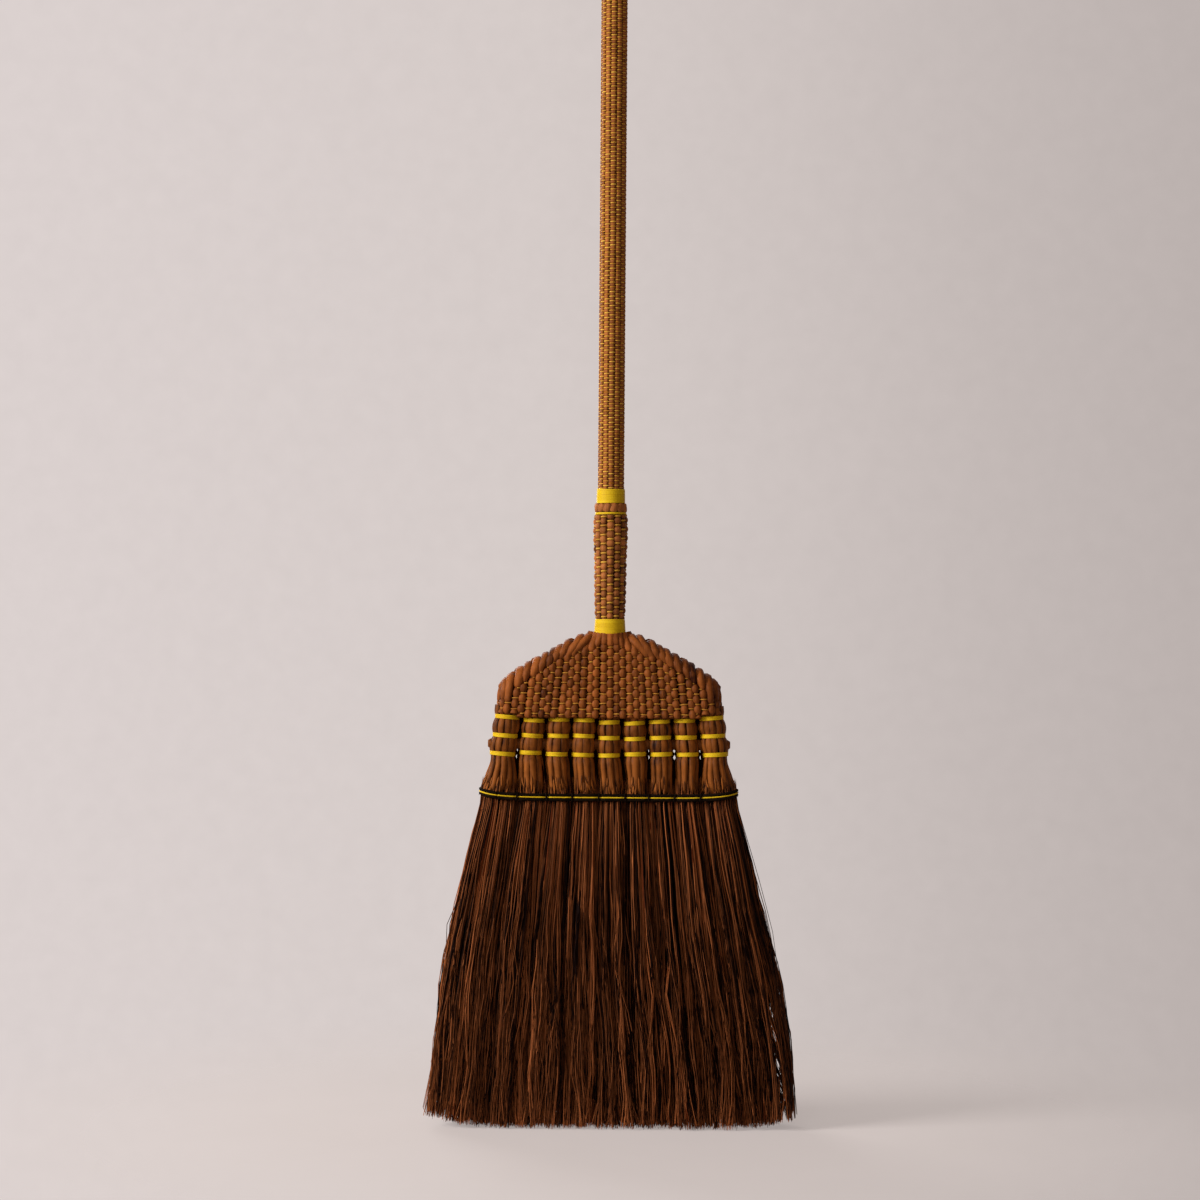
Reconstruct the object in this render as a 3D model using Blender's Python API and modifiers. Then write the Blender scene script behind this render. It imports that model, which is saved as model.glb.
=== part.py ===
"""A long-handled flat broom made of plant stalks, standing upright on its trimmed bristle tips.

A round pole runs down through a covering of flat stalk strips, a woven neck and into a woven shoulder. Nine
bundles of stalks hang from the shoulder, each bound three times and threaded on a cross rod. A stitched band
holds them flat, and below it every bundle frays into bristles.

Metres, +Z up. The broom is wide along X and thin along Y, and the floor it stands on is at Z = 0.
"""

import math
import random

import bmesh
import bpy
from mathutils import Vector

# Clearances
SEAT_GAP = 0.0003
CUT_OVERRUN = 0.0030

# Handle
BROOM_LENGTH = 1.300
POLE_DIAMETER = 0.0180
POLE_CHAMFER = 0.0010
POLE_SEAT_DEPTH = 0.0500
POLE_PROUD = 0.0015
POLE_FACETS = 16
STRIP_COUNT = 11
STRIP_THICKNESS = 0.0019
STRIP_CROWN = 0.0005
END_BINDING_HEIGHT = 0.0130
END_BINDING_THICKNESS = 0.0012
END_BINDING_INSET = 0.0015
END_BINDING_RIBS = 2

# Wound collars
COLLAR_CORD_DIAMETER = 0.0015
COLLAR_CORD_PITCH = 0.0020
UPPER_COLLAR_TURNS = 6
LOWER_COLLAR_TURNS = 6
COLLAR_POINTS_PER_TURN = 16

# Folded stalk ends under the upper collar, and the thin ring that binds the neck below them
FOLD_HEIGHT = 0.0078
FOLD_THICKNESS = 0.0024
FOLD_GROOVE = 0.0006
NECK_RING_HEIGHT = 0.0026
NECK_RING_THICKNESS = 0.0015
NECK_RING_FACETS = 18

# Woven neck
NECK_LENGTH = 0.0885
NECK_DIAMETER = 0.0292
NECK_CORE_DIAMETER = 0.0242
NECK_SEAT_DEPTH = 0.0040
NECK_SWELL = 0.0008
NECK_STALKS = 13
NECK_WEFT_PITCH = 0.0039
NECK_CROWN = 0.0006
NECK_GROOVE = 0.0010

# Woven shoulder
SHOULDER_INSET = 0.0032
SHOULDER_HEIGHT = 0.0710
SHOULDER_DEPTH = 0.0270
SHOULDER_BELLY = 0.0015
SHOULDER_CROWN_WIDTH = 0.0600
SHOULDER_CROWN_FALL = 0.0019
SHOULDER_FALL = 0.0403
SHOULDER_CORNER_FALL = 0.0045
SHOULDER_STALKS = 61
SHOULDER_WEFT_PITCH = 0.0046
SHOULDER_CROWN = 0.0008
SHOULDER_GROOVE = 0.0010
RIDGE_THICKNESS = 0.0060
RIDGE_SWELL_HEIGHT = 0.0160
RIDGE_PLAIN_HEIGHT = 0.0140
RIDGE_LEAN_SHARE = 0.06
CREST_RIDGE_SHARES = (0.6, 0.2, 0)
GROOVE_RIDGE_SHARES = (0.3, 0)
COLLAR_REST_MARGIN = 0.0010

# Bundles
BUNDLE_COUNT = 9
BUNDLE_LENGTH = 0.0800
BUNDLE_WIDTH = 0.0206
OUTER_BUNDLE_WIDTH = 0.0232
BUNDLE_SPACING = 0.0016
BUNDLE_DEPTH = 0.0240
BUNDLE_STALKS = 6
BUNDLE_GROOVE = 0.0006
WAIST_INSET = 0.0024
BARREL_SHARES = (0.28, 0.72)
FOOT_FLARE = 0.0055
FOOT_WIDTH = 0.2216
FOOT_DEPTH = 0.0305
CORE_DIAMETER = 0.0110
CORE_LENGTH = 0.0110

# Bindings of the bundles
BINDING_HEIGHT = 0.0030
BINDING_THICKNESS = 0.0011
BINDING_BELOW_TOP = 0.0009
BINDING_ABOVE_ROD = 0.0006
BINDING_BELOW_ROD = 0.0022

# Cross rod
ROD_DIAMETER = 0.0100
ROD_ABOVE_FOOT = 0.0573
ROD_PROUD = 0.0024
ROD_CHAMFER = 0.0012
ROD_FACETS = 10

# Stitched band
STITCH_ABOVE_FOOT = 0.0113
BLACK_CORD_DIAMETER = 0.0026
YELLOW_CORD_DIAMETER = 0.0017
TIE_DIAMETER = 0.0011
STITCH_END_RISE = 0.0038
STITCH_SPAN_POINTS = 4
STITCH_END_POINTS = 7

# Bristles
BRISTLE_LENGTH = 0.2580
SLICE_THICKNESS = 0.0120
TIP_WIDTH = 0.3180
TIP_DEPTH = 0.0500
TIP_RISE = 0.0060
TIP_LEVEL_SHARE = 0.55
STRANDS_ACROSS = 5
STRANDS_DEEP = 7
STRAND_ROOT_RADIUS = 0.0013
STRAND_TIP_RADIUS = 0.0021
STRAND_WANDER = 0.0003
STRAND_SIDES = 3
STRAND_SEED = 7

# Roundness of a bundle's outline: 2 is an ellipse, more is nearer to a rectangle
BOUND_ROUNDNESS = 2.2
FOOT_ROUNDNESS = 3.0

# Heights above the floor, worked out upwards from the bristle tips
FOOT_Z = BRISTLE_LENGTH + SLICE_THICKNESS + SEAT_GAP
STITCH_Z = FOOT_Z + STITCH_ABOVE_FOOT
STITCH_LOW_Z = STITCH_Z - YELLOW_CORD_DIAMETER / 2 - SEAT_GAP - BLACK_CORD_DIAMETER
ROD_Z = FOOT_Z + ROD_ABOVE_FOOT
BUNDLE_TOP_Z = FOOT_Z + BUNDLE_LENGTH
LOW_BINDING_Z = ROD_Z - ROD_DIAMETER / 2 - BINDING_BELOW_ROD - BINDING_HEIGHT / 2
MID_BINDING_Z = ROD_Z + ROD_DIAMETER / 2 + BINDING_ABOVE_ROD + BINDING_HEIGHT / 2
TOP_BINDING_Z = BUNDLE_TOP_Z - BINDING_BELOW_TOP - BINDING_HEIGHT / 2
SHOULDER_Z = BUNDLE_TOP_Z + SEAT_GAP
SHOULDER_TOP_Z = SHOULDER_Z + SHOULDER_HEIGHT
LOWER_COLLAR_Z = SHOULDER_TOP_Z + SEAT_GAP
LOWER_COLLAR_HEIGHT = LOWER_COLLAR_TURNS * COLLAR_CORD_PITCH + COLLAR_CORD_DIAMETER
NECK_Z = LOWER_COLLAR_Z + LOWER_COLLAR_HEIGHT + SEAT_GAP
NECK_TOP_Z = NECK_Z + NECK_LENGTH
NECK_RING_Z = NECK_TOP_Z + SEAT_GAP
FOLD_Z = NECK_RING_Z + NECK_RING_HEIGHT + SEAT_GAP
UPPER_COLLAR_Z = FOLD_Z + FOLD_HEIGHT + SEAT_GAP
SHEATH_TOP_Z = BROOM_LENGTH - POLE_PROUD

# Radii and widths that follow from what sits in or on what
POLE_RADIUS = POLE_DIAMETER / 2
BORE_RADIUS = POLE_RADIUS + SEAT_GAP
SHEATH_RADIUS = BORE_RADIUS + STRIP_THICKNESS
NECK_CORE_RADIUS = NECK_CORE_DIAMETER / 2
COLLAR_CORD_RADIUS = COLLAR_CORD_DIAMETER / 2
LOWER_COLLAR_RADIUS = NECK_CORE_RADIUS + SEAT_GAP + COLLAR_CORD_DIAMETER
BUNDLE_PITCH = BUNDLE_WIDTH + BUNDLE_SPACING
OUTER_INDEX = BUNDLE_COUNT // 2
OUTER_OFFSET = (OUTER_INDEX - 1) * BUNDLE_PITCH + (BUNDLE_WIDTH + OUTER_BUNDLE_WIDTH) / 2 + BUNDLE_SPACING
HEAD_WIDTH = 2 * OUTER_OFFSET + OUTER_BUNDLE_WIDTH
SHOULDER_WIDTH = HEAD_WIDTH - 2 * SHOULDER_INSET
SECTION_POINTS = 2 * BUNDLE_STALKS


# Helpers


def clear_scene():
    """Remove everything that the scene holds."""
    for obj in list(bpy.data.objects):
        bpy.data.objects.remove(obj)


def make_collection(name):
    """A new collection in the scene."""
    collection = bpy.data.collections.new(name)
    bpy.context.scene.collection.children.link(collection)
    return collection


def make_material(name, color, roughness):
    """A Principled material in one colour."""
    material = bpy.data.materials.new(name)
    material.use_nodes = True
    shader = material.node_tree.nodes["Principled BSDF"]
    shader.inputs["Base Color"].default_value = (*color, 1)
    shader.inputs["Roughness"].default_value = roughness
    shader.inputs["Metallic"].default_value = 0
    material.diffuse_color = (*color, 1)
    return material


def add_mesh(name, bm, collection, material=None):
    """Put a bmesh into the scene as one object, with its faces turned outwards."""
    bmesh.ops.recalc_face_normals(bm, faces=bm.faces)
    mesh = bpy.data.meshes.new(name)
    bm.to_mesh(mesh)
    bm.free()
    mesh.shade_smooth()
    mesh.set_sharp_from_angle(angle=math.radians(40))
    obj = bpy.data.objects.new(name, mesh)
    collection.objects.link(obj)
    if material:
        mesh.materials.append(material)
    return obj


def add_tube(name, points, radius, cyclic, resolution, collection, material=None):
    """A round cord along points: a polyline curve with a bevel and filled caps."""
    curve = bpy.data.curves.new(name, "CURVE")
    curve.dimensions = "3D"
    curve.bevel_depth = radius
    curve.bevel_resolution = resolution
    curve.use_fill_caps = not cyclic
    spline = curve.splines.new("POLY")
    spline.points.add(len(points) - 1)
    for slot, point in zip(spline.points, points):
        slot.co = (*point, 1)
    spline.use_cyclic_u = cyclic
    obj = bpy.data.objects.new(name, curve)
    collection.objects.link(obj)
    if material:
        curve.materials.append(material)
    return obj


def meshed(obj):
    """The curve object made a welded mesh, so that a Boolean can take it."""
    graph = bpy.context.evaluated_depsgraph_get()
    bm = bmesh.new()
    bm.from_mesh(bpy.data.meshes.new_from_object(obj.evaluated_get(graph)))
    bmesh.ops.remove_doubles(bm, verts=bm.verts, dist=STRAND_WANDER / 100)
    name = obj.name
    collection = obj.users_collection[0]
    material = obj.data.materials[0] if obj.data.materials else None
    bpy.data.objects.remove(obj)
    return add_mesh(name, bm, collection, material)


def hide_helper(obj):
    """Mark an object as a cutter or a guide."""
    obj.hide_render = True
    obj.display_type = "WIRE"


def add_boolean(obj, other, operation):
    """Cut or join other with obj by an exact Boolean, and hide other as a helper."""
    modifier = obj.modifiers.new(f"{operation.lower()} {other.name}", "BOOLEAN")
    modifier.operation = operation
    modifier.solver = "EXACT"
    modifier.object = other
    hide_helper(other)


def loft(bm, sections, joined_ends):
    """Skin a row of closed sections with as many points each, and cap its ends or join them."""
    rings = [[bm.verts.new(point) for point in section] for section in sections]
    pairs = list(zip(rings, rings[1:]))
    if joined_ends:
        pairs.append((rings[-1], rings[0]))
    for lower, upper in pairs:
        for k in range(len(lower)):
            after = (k + 1) % len(lower)
            bm.faces.new((lower[k], lower[after], upper[after], upper[k]))
    if not joined_ends:
        bm.faces.new(rings[0])
        bm.faces.new(rings[-1])


def strip(bm, left, right):
    """Fill between two rows of (key, vertex) with triangles, taking the shorter crossing at each step."""
    i = 0
    j = 0
    while i < len(left) - 1 or j < len(right) - 1:
        left_reach = abs(left[i + 1][0] - right[j][0]) if i < len(left) - 1 else math.inf
        right_reach = abs(right[j + 1][0] - left[i][0]) if j < len(right) - 1 else math.inf
        if left_reach <= right_reach:
            bm.faces.new((left[i][1], right[j][1], left[i + 1][1]))
            i += 1
        else:
            bm.faces.new((left[i][1], right[j][1], right[j + 1][1]))
            j += 1


def circle_section(radius, height, count, groove=0.0):
    """A level ring of points about the Z axis, every second one sunk by groove."""
    points = []
    for k in range(count):
        angle = 2 * math.pi * k / count
        reach = radius - groove * (k % 2)
        points.append((reach * math.cos(angle), reach * math.sin(angle), height))
    return points


def blend(position, start, end):
    """0 up to start, 1 from end on, and a smooth rise between them."""
    share = min(max((position - start) / (end - start), 0), 1)
    return share * share * (3 - 2 * share)


def interpolate(position, stops):
    """The value at position on the straight lines through stops, a list of (position, value) in order."""
    for (low, first), (high, second) in zip(stops, stops[1:]):
        if position <= high or (high, second) == stops[-1]:
            return first + (second - first) * (position - low) / (high - low)
    return stops[-1][1]


# The spread of the head: one set of functions places bundles, bindings, cords and bristles


def fan(height):
    """How far the head has spread at a height, as a share of its width at the cross rod."""
    tip_share = TIP_WIDTH / HEAD_WIDTH
    foot_share = FOOT_WIDTH / HEAD_WIDTH
    top_share = SHOULDER_WIDTH / HEAD_WIDTH
    return interpolate(height, [(0, tip_share), (FOOT_Z, foot_share), (ROD_Z, 1), (BUNDLE_TOP_Z, top_share)])


def head_half_depth(height):
    """Half the head's depth at a height, before any waist."""
    if height > LOW_BINDING_Z:
        return BUNDLE_DEPTH / 2
    stops = [(0, TIP_DEPTH), (FOOT_Z, FOOT_DEPTH), (LOW_BINDING_Z, BUNDLE_DEPTH)]
    return interpolate(height, stops) / 2


def roundness(height):
    """How square a bundle's outline is at a height."""
    return BOUND_ROUNDNESS + (FOOT_ROUNDNESS - BOUND_ROUNDNESS) * (1 - blend(height, STITCH_Z, LOW_BINDING_Z))


def bundle_offset(index, height):
    """Where a bundle's middle is along X at a height. The bundles are counted from 0 at the left."""
    place = index - OUTER_INDEX
    if abs(place) == OUTER_INDEX:
        return math.copysign(OUTER_OFFSET, place) * fan(height)
    return place * BUNDLE_PITCH * fan(height)


def bundle_half_width(index, height):
    """Half a bundle's width at a height, before any waist."""
    outer = abs(index - OUTER_INDEX) == OUTER_INDEX
    return (OUTER_BUNDLE_WIDTH if outer else BUNDLE_WIDTH) / 2 * fan(height)


def superellipse(angle, half_width, half_depth, power):
    """The point of a rounded rectangle's outline at an angle."""
    x = math.copysign(abs(math.cos(angle)) ** (2 / power), math.cos(angle)) * half_width
    y = math.copysign(abs(math.sin(angle)) ** (2 / power), math.sin(angle)) * half_depth
    return x, y


def bundle_section(index, height, inset=0.0, groove=0.0):
    """One level outline of a bundle, drawn in by inset, with a groove between its stalks."""
    half_width = bundle_half_width(index, height) - inset
    half_depth = head_half_depth(height) - inset
    middle = bundle_offset(index, height)
    points = []
    for k in range(SECTION_POINTS):
        angle = 2 * math.pi * (k + 0.5) / SECTION_POINTS
        sunk = groove * (k % 2)
        x, y = superellipse(angle, half_width - sunk, half_depth - sunk, roundness(height))
        points.append((middle + x, y, height))
    return points


# Handle


def build_pole(collection, material):
    """The round pole, turned from a chamfered profile. It ends in the shoulder's bore."""
    foot = SHOULDER_TOP_Z - POLE_SEAT_DEPTH + SEAT_GAP
    profile = [
        (0, BROOM_LENGTH),
        (POLE_RADIUS - POLE_CHAMFER, BROOM_LENGTH),
        (POLE_RADIUS, BROOM_LENGTH - POLE_CHAMFER),
        (POLE_RADIUS, foot + POLE_CHAMFER),
        (POLE_RADIUS - POLE_CHAMFER, foot),
        (0, foot),
    ]
    return add_turned("handle_pole", profile, POLE_FACETS, collection, material)


def add_turned(name, profile, facets, collection, material=None):
    """A solid of revolution about Z: a profile of (radius, height) from top to bottom under a Screw."""
    bm = bmesh.new()
    verts = [bm.verts.new((radius, 0, height)) for radius, height in profile]
    for first, second in zip(verts, verts[1:]):
        bm.edges.new((first, second))
    mesh = bpy.data.meshes.new(name)
    bm.to_mesh(mesh)
    bm.free()
    obj = bpy.data.objects.new(name, mesh)
    collection.objects.link(obj)
    screw = obj.modifiers.new("turn", "SCREW")
    screw.steps = facets
    screw.render_steps = facets
    screw.use_merge_vertices = True
    screw.merge_threshold = SEAT_GAP / 10
    screw.use_smooth_shade = True
    if material:
        mesh.materials.append(material)
    return obj


def build_sheath(collection, material):
    """The handle's covering: a sleeve of flat strips, each a little crowned, open to the pole."""
    count = 2 * STRIP_COUNT
    low = FOLD_Z
    bore = BORE_RADIUS / math.cos(math.pi / count)
    sections = [
        circle_section(SHEATH_RADIUS, low, count, STRIP_CROWN),
        circle_section(SHEATH_RADIUS, SHEATH_TOP_Z, count, STRIP_CROWN),
        circle_section(bore, SHEATH_TOP_Z, count),
        circle_section(bore, low, count),
    ]
    bm = bmesh.new()
    loft(bm, sections, joined_ends=True)
    return add_mesh("handle_sheath", bm, collection, material)


def build_end_binding(collection, material):
    """The twine bound round the top end of the covering, as a ribbed ring."""
    top = SHEATH_TOP_Z - END_BINDING_INSET
    inner = SHEATH_RADIUS + SEAT_GAP
    outer = inner + END_BINDING_THICKNESS
    rib = END_BINDING_HEIGHT / END_BINDING_RIBS
    facets = 2 * STRIP_COUNT
    scale = 1 / math.cos(math.pi / facets)
    outline = [(inner, top - END_BINDING_HEIGHT), (inner, top)]
    for k in range(END_BINDING_RIBS):
        crest = top - rib * (k + 0.5)
        outline.append((outer - END_BINDING_THICKNESS / 3, top - rib * k))
        outline.append((outer, crest))
    outline.append((outer - END_BINDING_THICKNESS / 3, top - END_BINDING_HEIGHT))
    bm = bmesh.new()
    loft(bm, [circle_section(r * scale, z, facets) for r, z in outline], joined_ends=True)
    return add_mesh("end_binding", bm, collection, material)


def coil_points(core_radius, base, turns):
    """A cord's centre line wound up round a core, with a straight run of one diameter at each end."""
    steps = COLLAR_POINTS_PER_TURN
    reach = (core_radius + SEAT_GAP + COLLAR_CORD_RADIUS) / math.cos(math.pi / steps)
    points = []
    for k in range(turns * steps + 1):
        angle = 2 * math.pi * k / steps
        height = base + COLLAR_CORD_RADIUS + COLLAR_CORD_PITCH * k / steps
        points.append(Vector((reach * math.cos(angle), reach * math.sin(angle), height)))
    first_run = (points[0] - points[1]).normalized() * COLLAR_CORD_DIAMETER
    last_run = (points[-1] - points[-2]).normalized() * COLLAR_CORD_DIAMETER
    return [points[0] + first_run, *points, points[-1] + last_run]


def least_gap(points, steps, diameter):
    """The least clear distance between the turns of a cord, measured on its points."""
    least = math.inf
    for i, point in enumerate(points):
        for other in points[i + steps // 2 :]:
            least = min(least, (point - other).length - diameter)
    return least


def build_collar(name, core_radius, base, turns, collection, material):
    """A collar of twine: one unbroken cord wound round the handle."""
    points = coil_points(core_radius, base, turns)
    gap = least_gap(points, COLLAR_POINTS_PER_TURN, COLLAR_CORD_DIAMETER)
    print(f"{name}: least gap between its turns {gap * 1000:.2f} mm")
    return add_tube(name, points, COLLAR_CORD_RADIUS, False, 1, collection, material)


def build_fold(collection, material):
    """The folded ends of the neck's stalks, a fluted ring that swells out under the upper collar."""
    count = 2 * NECK_STALKS
    inner = (SHEATH_RADIUS + SEAT_GAP) / math.cos(math.pi / count)
    outer = SHEATH_RADIUS + SEAT_GAP + FOLD_THICKNESS
    shoulder = outer - FOLD_THICKNESS / 2
    top = FOLD_Z + FOLD_HEIGHT
    sections = [
        circle_section(inner, FOLD_Z, count),
        circle_section(inner, top, count),
        circle_section(shoulder, top, count, FOLD_GROOVE),
        circle_section(outer, FOLD_Z + FOLD_HEIGHT * 2 / 3, count, FOLD_GROOVE),
        circle_section(outer, FOLD_Z + FOLD_HEIGHT / 3, count, FOLD_GROOVE),
        circle_section(shoulder, FOLD_Z, count, FOLD_GROOVE),
    ]
    bm = bmesh.new()
    loft(bm, sections, joined_ends=True)
    return add_mesh("stalk_fold", bm, collection, material)


def build_neck_ring(collection, material):
    """The thin ring of twine at the top of the woven neck."""
    count = NECK_RING_FACETS
    inner = (NECK_CORE_RADIUS + SEAT_GAP) / math.cos(math.pi / count)
    outer = NECK_CORE_RADIUS + SEAT_GAP + NECK_RING_THICKNESS
    top = NECK_RING_Z + NECK_RING_HEIGHT
    sections = [
        circle_section(inner, NECK_RING_Z, count),
        circle_section(inner, top, count),
        circle_section(outer, top, count),
        circle_section(outer, NECK_RING_Z, count),
    ]
    bm = bmesh.new()
    loft(bm, sections, joined_ends=True)
    return add_mesh("neck_ring", bm, collection, material)


def neck_column(bm, k):
    """One upright row of the neck's weave: the crest of a stalk, or the groove beside it."""
    angle = math.pi * k / NECK_STALKS
    stalk = k // 2
    crest = k % 2 == 0
    radius = NECK_DIAMETER / 2
    face = radius - NECK_CROWN if crest else radius - NECK_CROWN - NECK_GROOVE
    rows = [
        (0, NECK_CORE_RADIUS, LOWER_COLLAR_Z - NECK_SEAT_DEPTH),
        (1, NECK_CORE_RADIUS, NECK_Z),
        (2, face, NECK_Z),
    ]
    count = int(NECK_LENGTH / NECK_WEFT_PITCH)
    for j in range(count if crest else count // 2):
        share = (j + (stalk + 1) / (NECK_STALKS + 1)) / count if crest else (2 * j + 1) / count
        swell = NECK_SWELL * math.sin(math.pi * share)
        bead = NECK_CROWN * (1 if (j + stalk) % 2 == 0 else -1) if crest else 0
        rows.append((3 + share, face + swell + bead, NECK_Z + NECK_LENGTH * share))
    rows += [
        (5, face, NECK_TOP_Z),
        (6, NECK_CORE_RADIUS, NECK_TOP_Z),
        (7, NECK_CORE_RADIUS, NECK_RING_Z + NECK_RING_HEIGHT),
    ]
    return [(key, bm.verts.new((r * math.cos(angle), r * math.sin(angle), z))) for key, r, z in rows]


def build_neck(collection, cutters, material):
    """The woven neck: stalks side by side with beads between the turns of weft, bored for the pole."""
    bm = bmesh.new()
    columns = [neck_column(bm, k) for k in range(2 * NECK_STALKS)]
    for column, after in zip(columns, columns[1:] + columns[:1]):
        strip(bm, column, after)
    bm.faces.new([column[0][1] for column in columns])
    bm.faces.new([column[-1][1] for column in columns])
    obj = add_mesh("neck_weave", bm, collection, material)
    low = LOWER_COLLAR_Z - NECK_SEAT_DEPTH - CUT_OVERRUN
    high = NECK_RING_Z + NECK_RING_HEIGHT + CUT_OVERRUN
    add_boolean(obj, add_bore("neck_bore", BORE_RADIUS, low, high, cutters), "DIFFERENCE")
    return obj


def add_bore(name, radius, low, high, collection, middle=(0.0, 0.0)):
    """An upright round cutter from low to high, whose flats clear radius."""
    count = POLE_FACETS
    bm = bmesh.new()
    reach = radius / math.cos(math.pi / count)
    sections = []
    for height in (low, high):
        ring = circle_section(reach, height, count)
        sections.append([(middle[0] + x, middle[1] + y, z) for x, y, z in ring])
    loft(bm, sections, joined_ends=False)
    return add_mesh(name, bm, collection)


# Shoulder


def stadium(arc, half_width, radius):
    """The point and outward direction at a length along a level outline with round ends, from its front middle."""
    flat = half_width - radius
    bend = math.pi * radius
    around = arc % (4 * flat + 2 * bend)
    if around < flat:
        return around, -radius, 0.0, -1.0
    if around < flat + bend:
        turn = (around - flat) / radius
        return flat + radius * math.sin(turn), -radius * math.cos(turn), math.sin(turn), -math.cos(turn)
    if around < 3 * flat + bend:
        return 2 * flat + bend - around, radius, 0.0, 1.0
    if around < 3 * flat + 2 * bend:
        turn = (around - 3 * flat - bend) / radius
        return -flat - radius * math.sin(turn), radius * math.cos(turn), -math.sin(turn), math.cos(turn)
    return around - 4 * flat - 2 * bend, -radius, 0.0, -1.0


def ridge_height(x):
    """Height of the shoulder's top edge: nearly level at the neck, then sloping, then round at the corner."""
    crown = SHOULDER_CROWN_WIDTH / 2
    reach = abs(x)
    edge = SHOULDER_WIDTH / 2
    height = SHOULDER_TOP_Z - SHOULDER_CROWN_FALL * blend(reach, LOWER_COLLAR_RADIUS, crown)
    height -= SHOULDER_FALL * max(reach - crown, 0) / (edge - crown)
    return height - SHOULDER_CORNER_FALL * (reach / edge) ** 12


def shoulder_half_depth(x, height, ridge):
    """Half the shoulder's depth, which swells from its ridge downwards and is level under the collar."""
    rest = LOWER_COLLAR_RADIUS + COLLAR_REST_MARGIN
    half_ridge = RIDGE_THICKNESS / 2
    crest = half_ridge + (rest - half_ridge) * (1 - blend(abs(x), rest, 2 * rest))
    belly = SHOULDER_BELLY * math.sin(math.pi * (height - SHOULDER_Z) / SHOULDER_HEIGHT)
    full = SHOULDER_DEPTH / 2 + max(belly, 0)
    depth_below = min((ridge - height) / RIDGE_SWELL_HEIGHT, 1)
    return crest + (max(full, crest) - crest) * math.sqrt(1 - (1 - depth_below) ** 2)


def shoulder_column(bm, k, arc):
    """One upright row of the shoulder's weave, from its flat underside up to the ridge."""
    x, y, out_x, out_y = stadium(arc, SHOULDER_WIDTH / 2, SHOULDER_DEPTH / 2)
    stalk = k // 2
    crest = k % 2 == 0
    ridge = ridge_height(x * (1 - RIDGE_LEAN_SHARE))
    woven = ridge - RIDGE_PLAIN_HEIGHT - SHOULDER_Z
    heights = [(SHOULDER_Z, 0)]
    pitch = SHOULDER_WEFT_PITCH if crest else 2 * SHOULDER_WEFT_PITCH
    first = (stalk + 1) / (SHOULDER_STALKS + 1) if crest else 0.5
    for j in range(int(woven / pitch - first) + 1):
        bead = (1 if (j + stalk) % 2 == 0 else -1) if crest else 0
        heights.append((SHOULDER_Z + pitch * (j + first), bead))
    for share in CREST_RIDGE_SHARES if crest else GROOVE_RIDGE_SHARES:
        heights.append((ridge - RIDGE_PLAIN_HEIGHT * share, share / 2 if crest else 0))
    column = []
    for height, bead in heights:
        rise = (height - SHOULDER_Z) / (ridge - SHOULDER_Z)
        half = shoulder_half_depth(x, height, ridge)
        face = bead * SHOULDER_CROWN - (0 if crest else SHOULDER_GROOVE)
        face -= SHOULDER_CROWN
        lean = RIDGE_LEAN_SHARE * x * rise * rise
        spot = (x - lean + out_x * face, y / (SHOULDER_DEPTH / 2) * half + out_y * face, height)
        column.append((height, bm.verts.new(spot)))
    return column


def build_shoulder(collection, cutters, material):
    """The woven shoulder: beaded stalks front and back, a plain ridge, a bore for the pole and sockets below."""
    bm = bmesh.new()
    radius = SHOULDER_DEPTH / 2
    count = 2 * SHOULDER_STALKS
    around = 4 * (SHOULDER_WIDTH / 2 - radius) + 2 * math.pi * radius
    columns = [shoulder_column(bm, k, around * k / count) for k in range(count)]
    for column, after in zip(columns, columns[1:] + columns[:1]):
        strip(bm, column, after)
    bm.faces.new([column[0][1] for column in columns])
    tops = [(column[-1][1].co.x, column[-1][1]) for column in columns]
    quarter = count // 4
    front = tops[-quarter:] + tops[: quarter + 1]
    back = tops[quarter + 1 : count - quarter]
    strip(bm, front, back[::-1])
    obj = add_mesh("shoulder_weave", bm, collection, material)
    pole_foot = SHOULDER_TOP_Z - POLE_SEAT_DEPTH
    high = SHOULDER_TOP_Z + CUT_OVERRUN
    add_boolean(obj, add_bore("pole_bore", BORE_RADIUS, pole_foot, high, cutters), "DIFFERENCE")
    socket_foot = LOWER_COLLAR_Z - NECK_SEAT_DEPTH - SEAT_GAP
    socket = add_bore("neck_socket", NECK_CORE_RADIUS + SEAT_GAP, socket_foot, high, cutters)
    add_boolean(obj, socket, "DIFFERENCE")
    for index in range(BUNDLE_COUNT):
        bm = bmesh.new()
        low = core_section(index, SHOULDER_Z - CUT_OVERRUN, SEAT_GAP)
        top = core_section(index, BUNDLE_TOP_Z + CORE_LENGTH + SEAT_GAP, SEAT_GAP)
        loft(bm, [low, top], joined_ends=False)
        pocket = add_mesh(f"core_socket_{index + 1}", bm, cutters)
        add_boolean(obj, pocket, "DIFFERENCE")
    return obj


# Bundles


def core_section(index, height, grown=0.0):
    """One level outline of the stalk core that runs from a bundle up into the shoulder."""
    middle = bundle_offset(index, BUNDLE_TOP_Z)
    points = []
    for k in range(SECTION_POINTS):
        angle = 2 * math.pi * (k + 0.5) / SECTION_POINTS
        reach = CORE_DIAMETER / 2 + grown
        points.append((middle + reach * math.cos(angle), reach * math.sin(angle), height))
    return points


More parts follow.
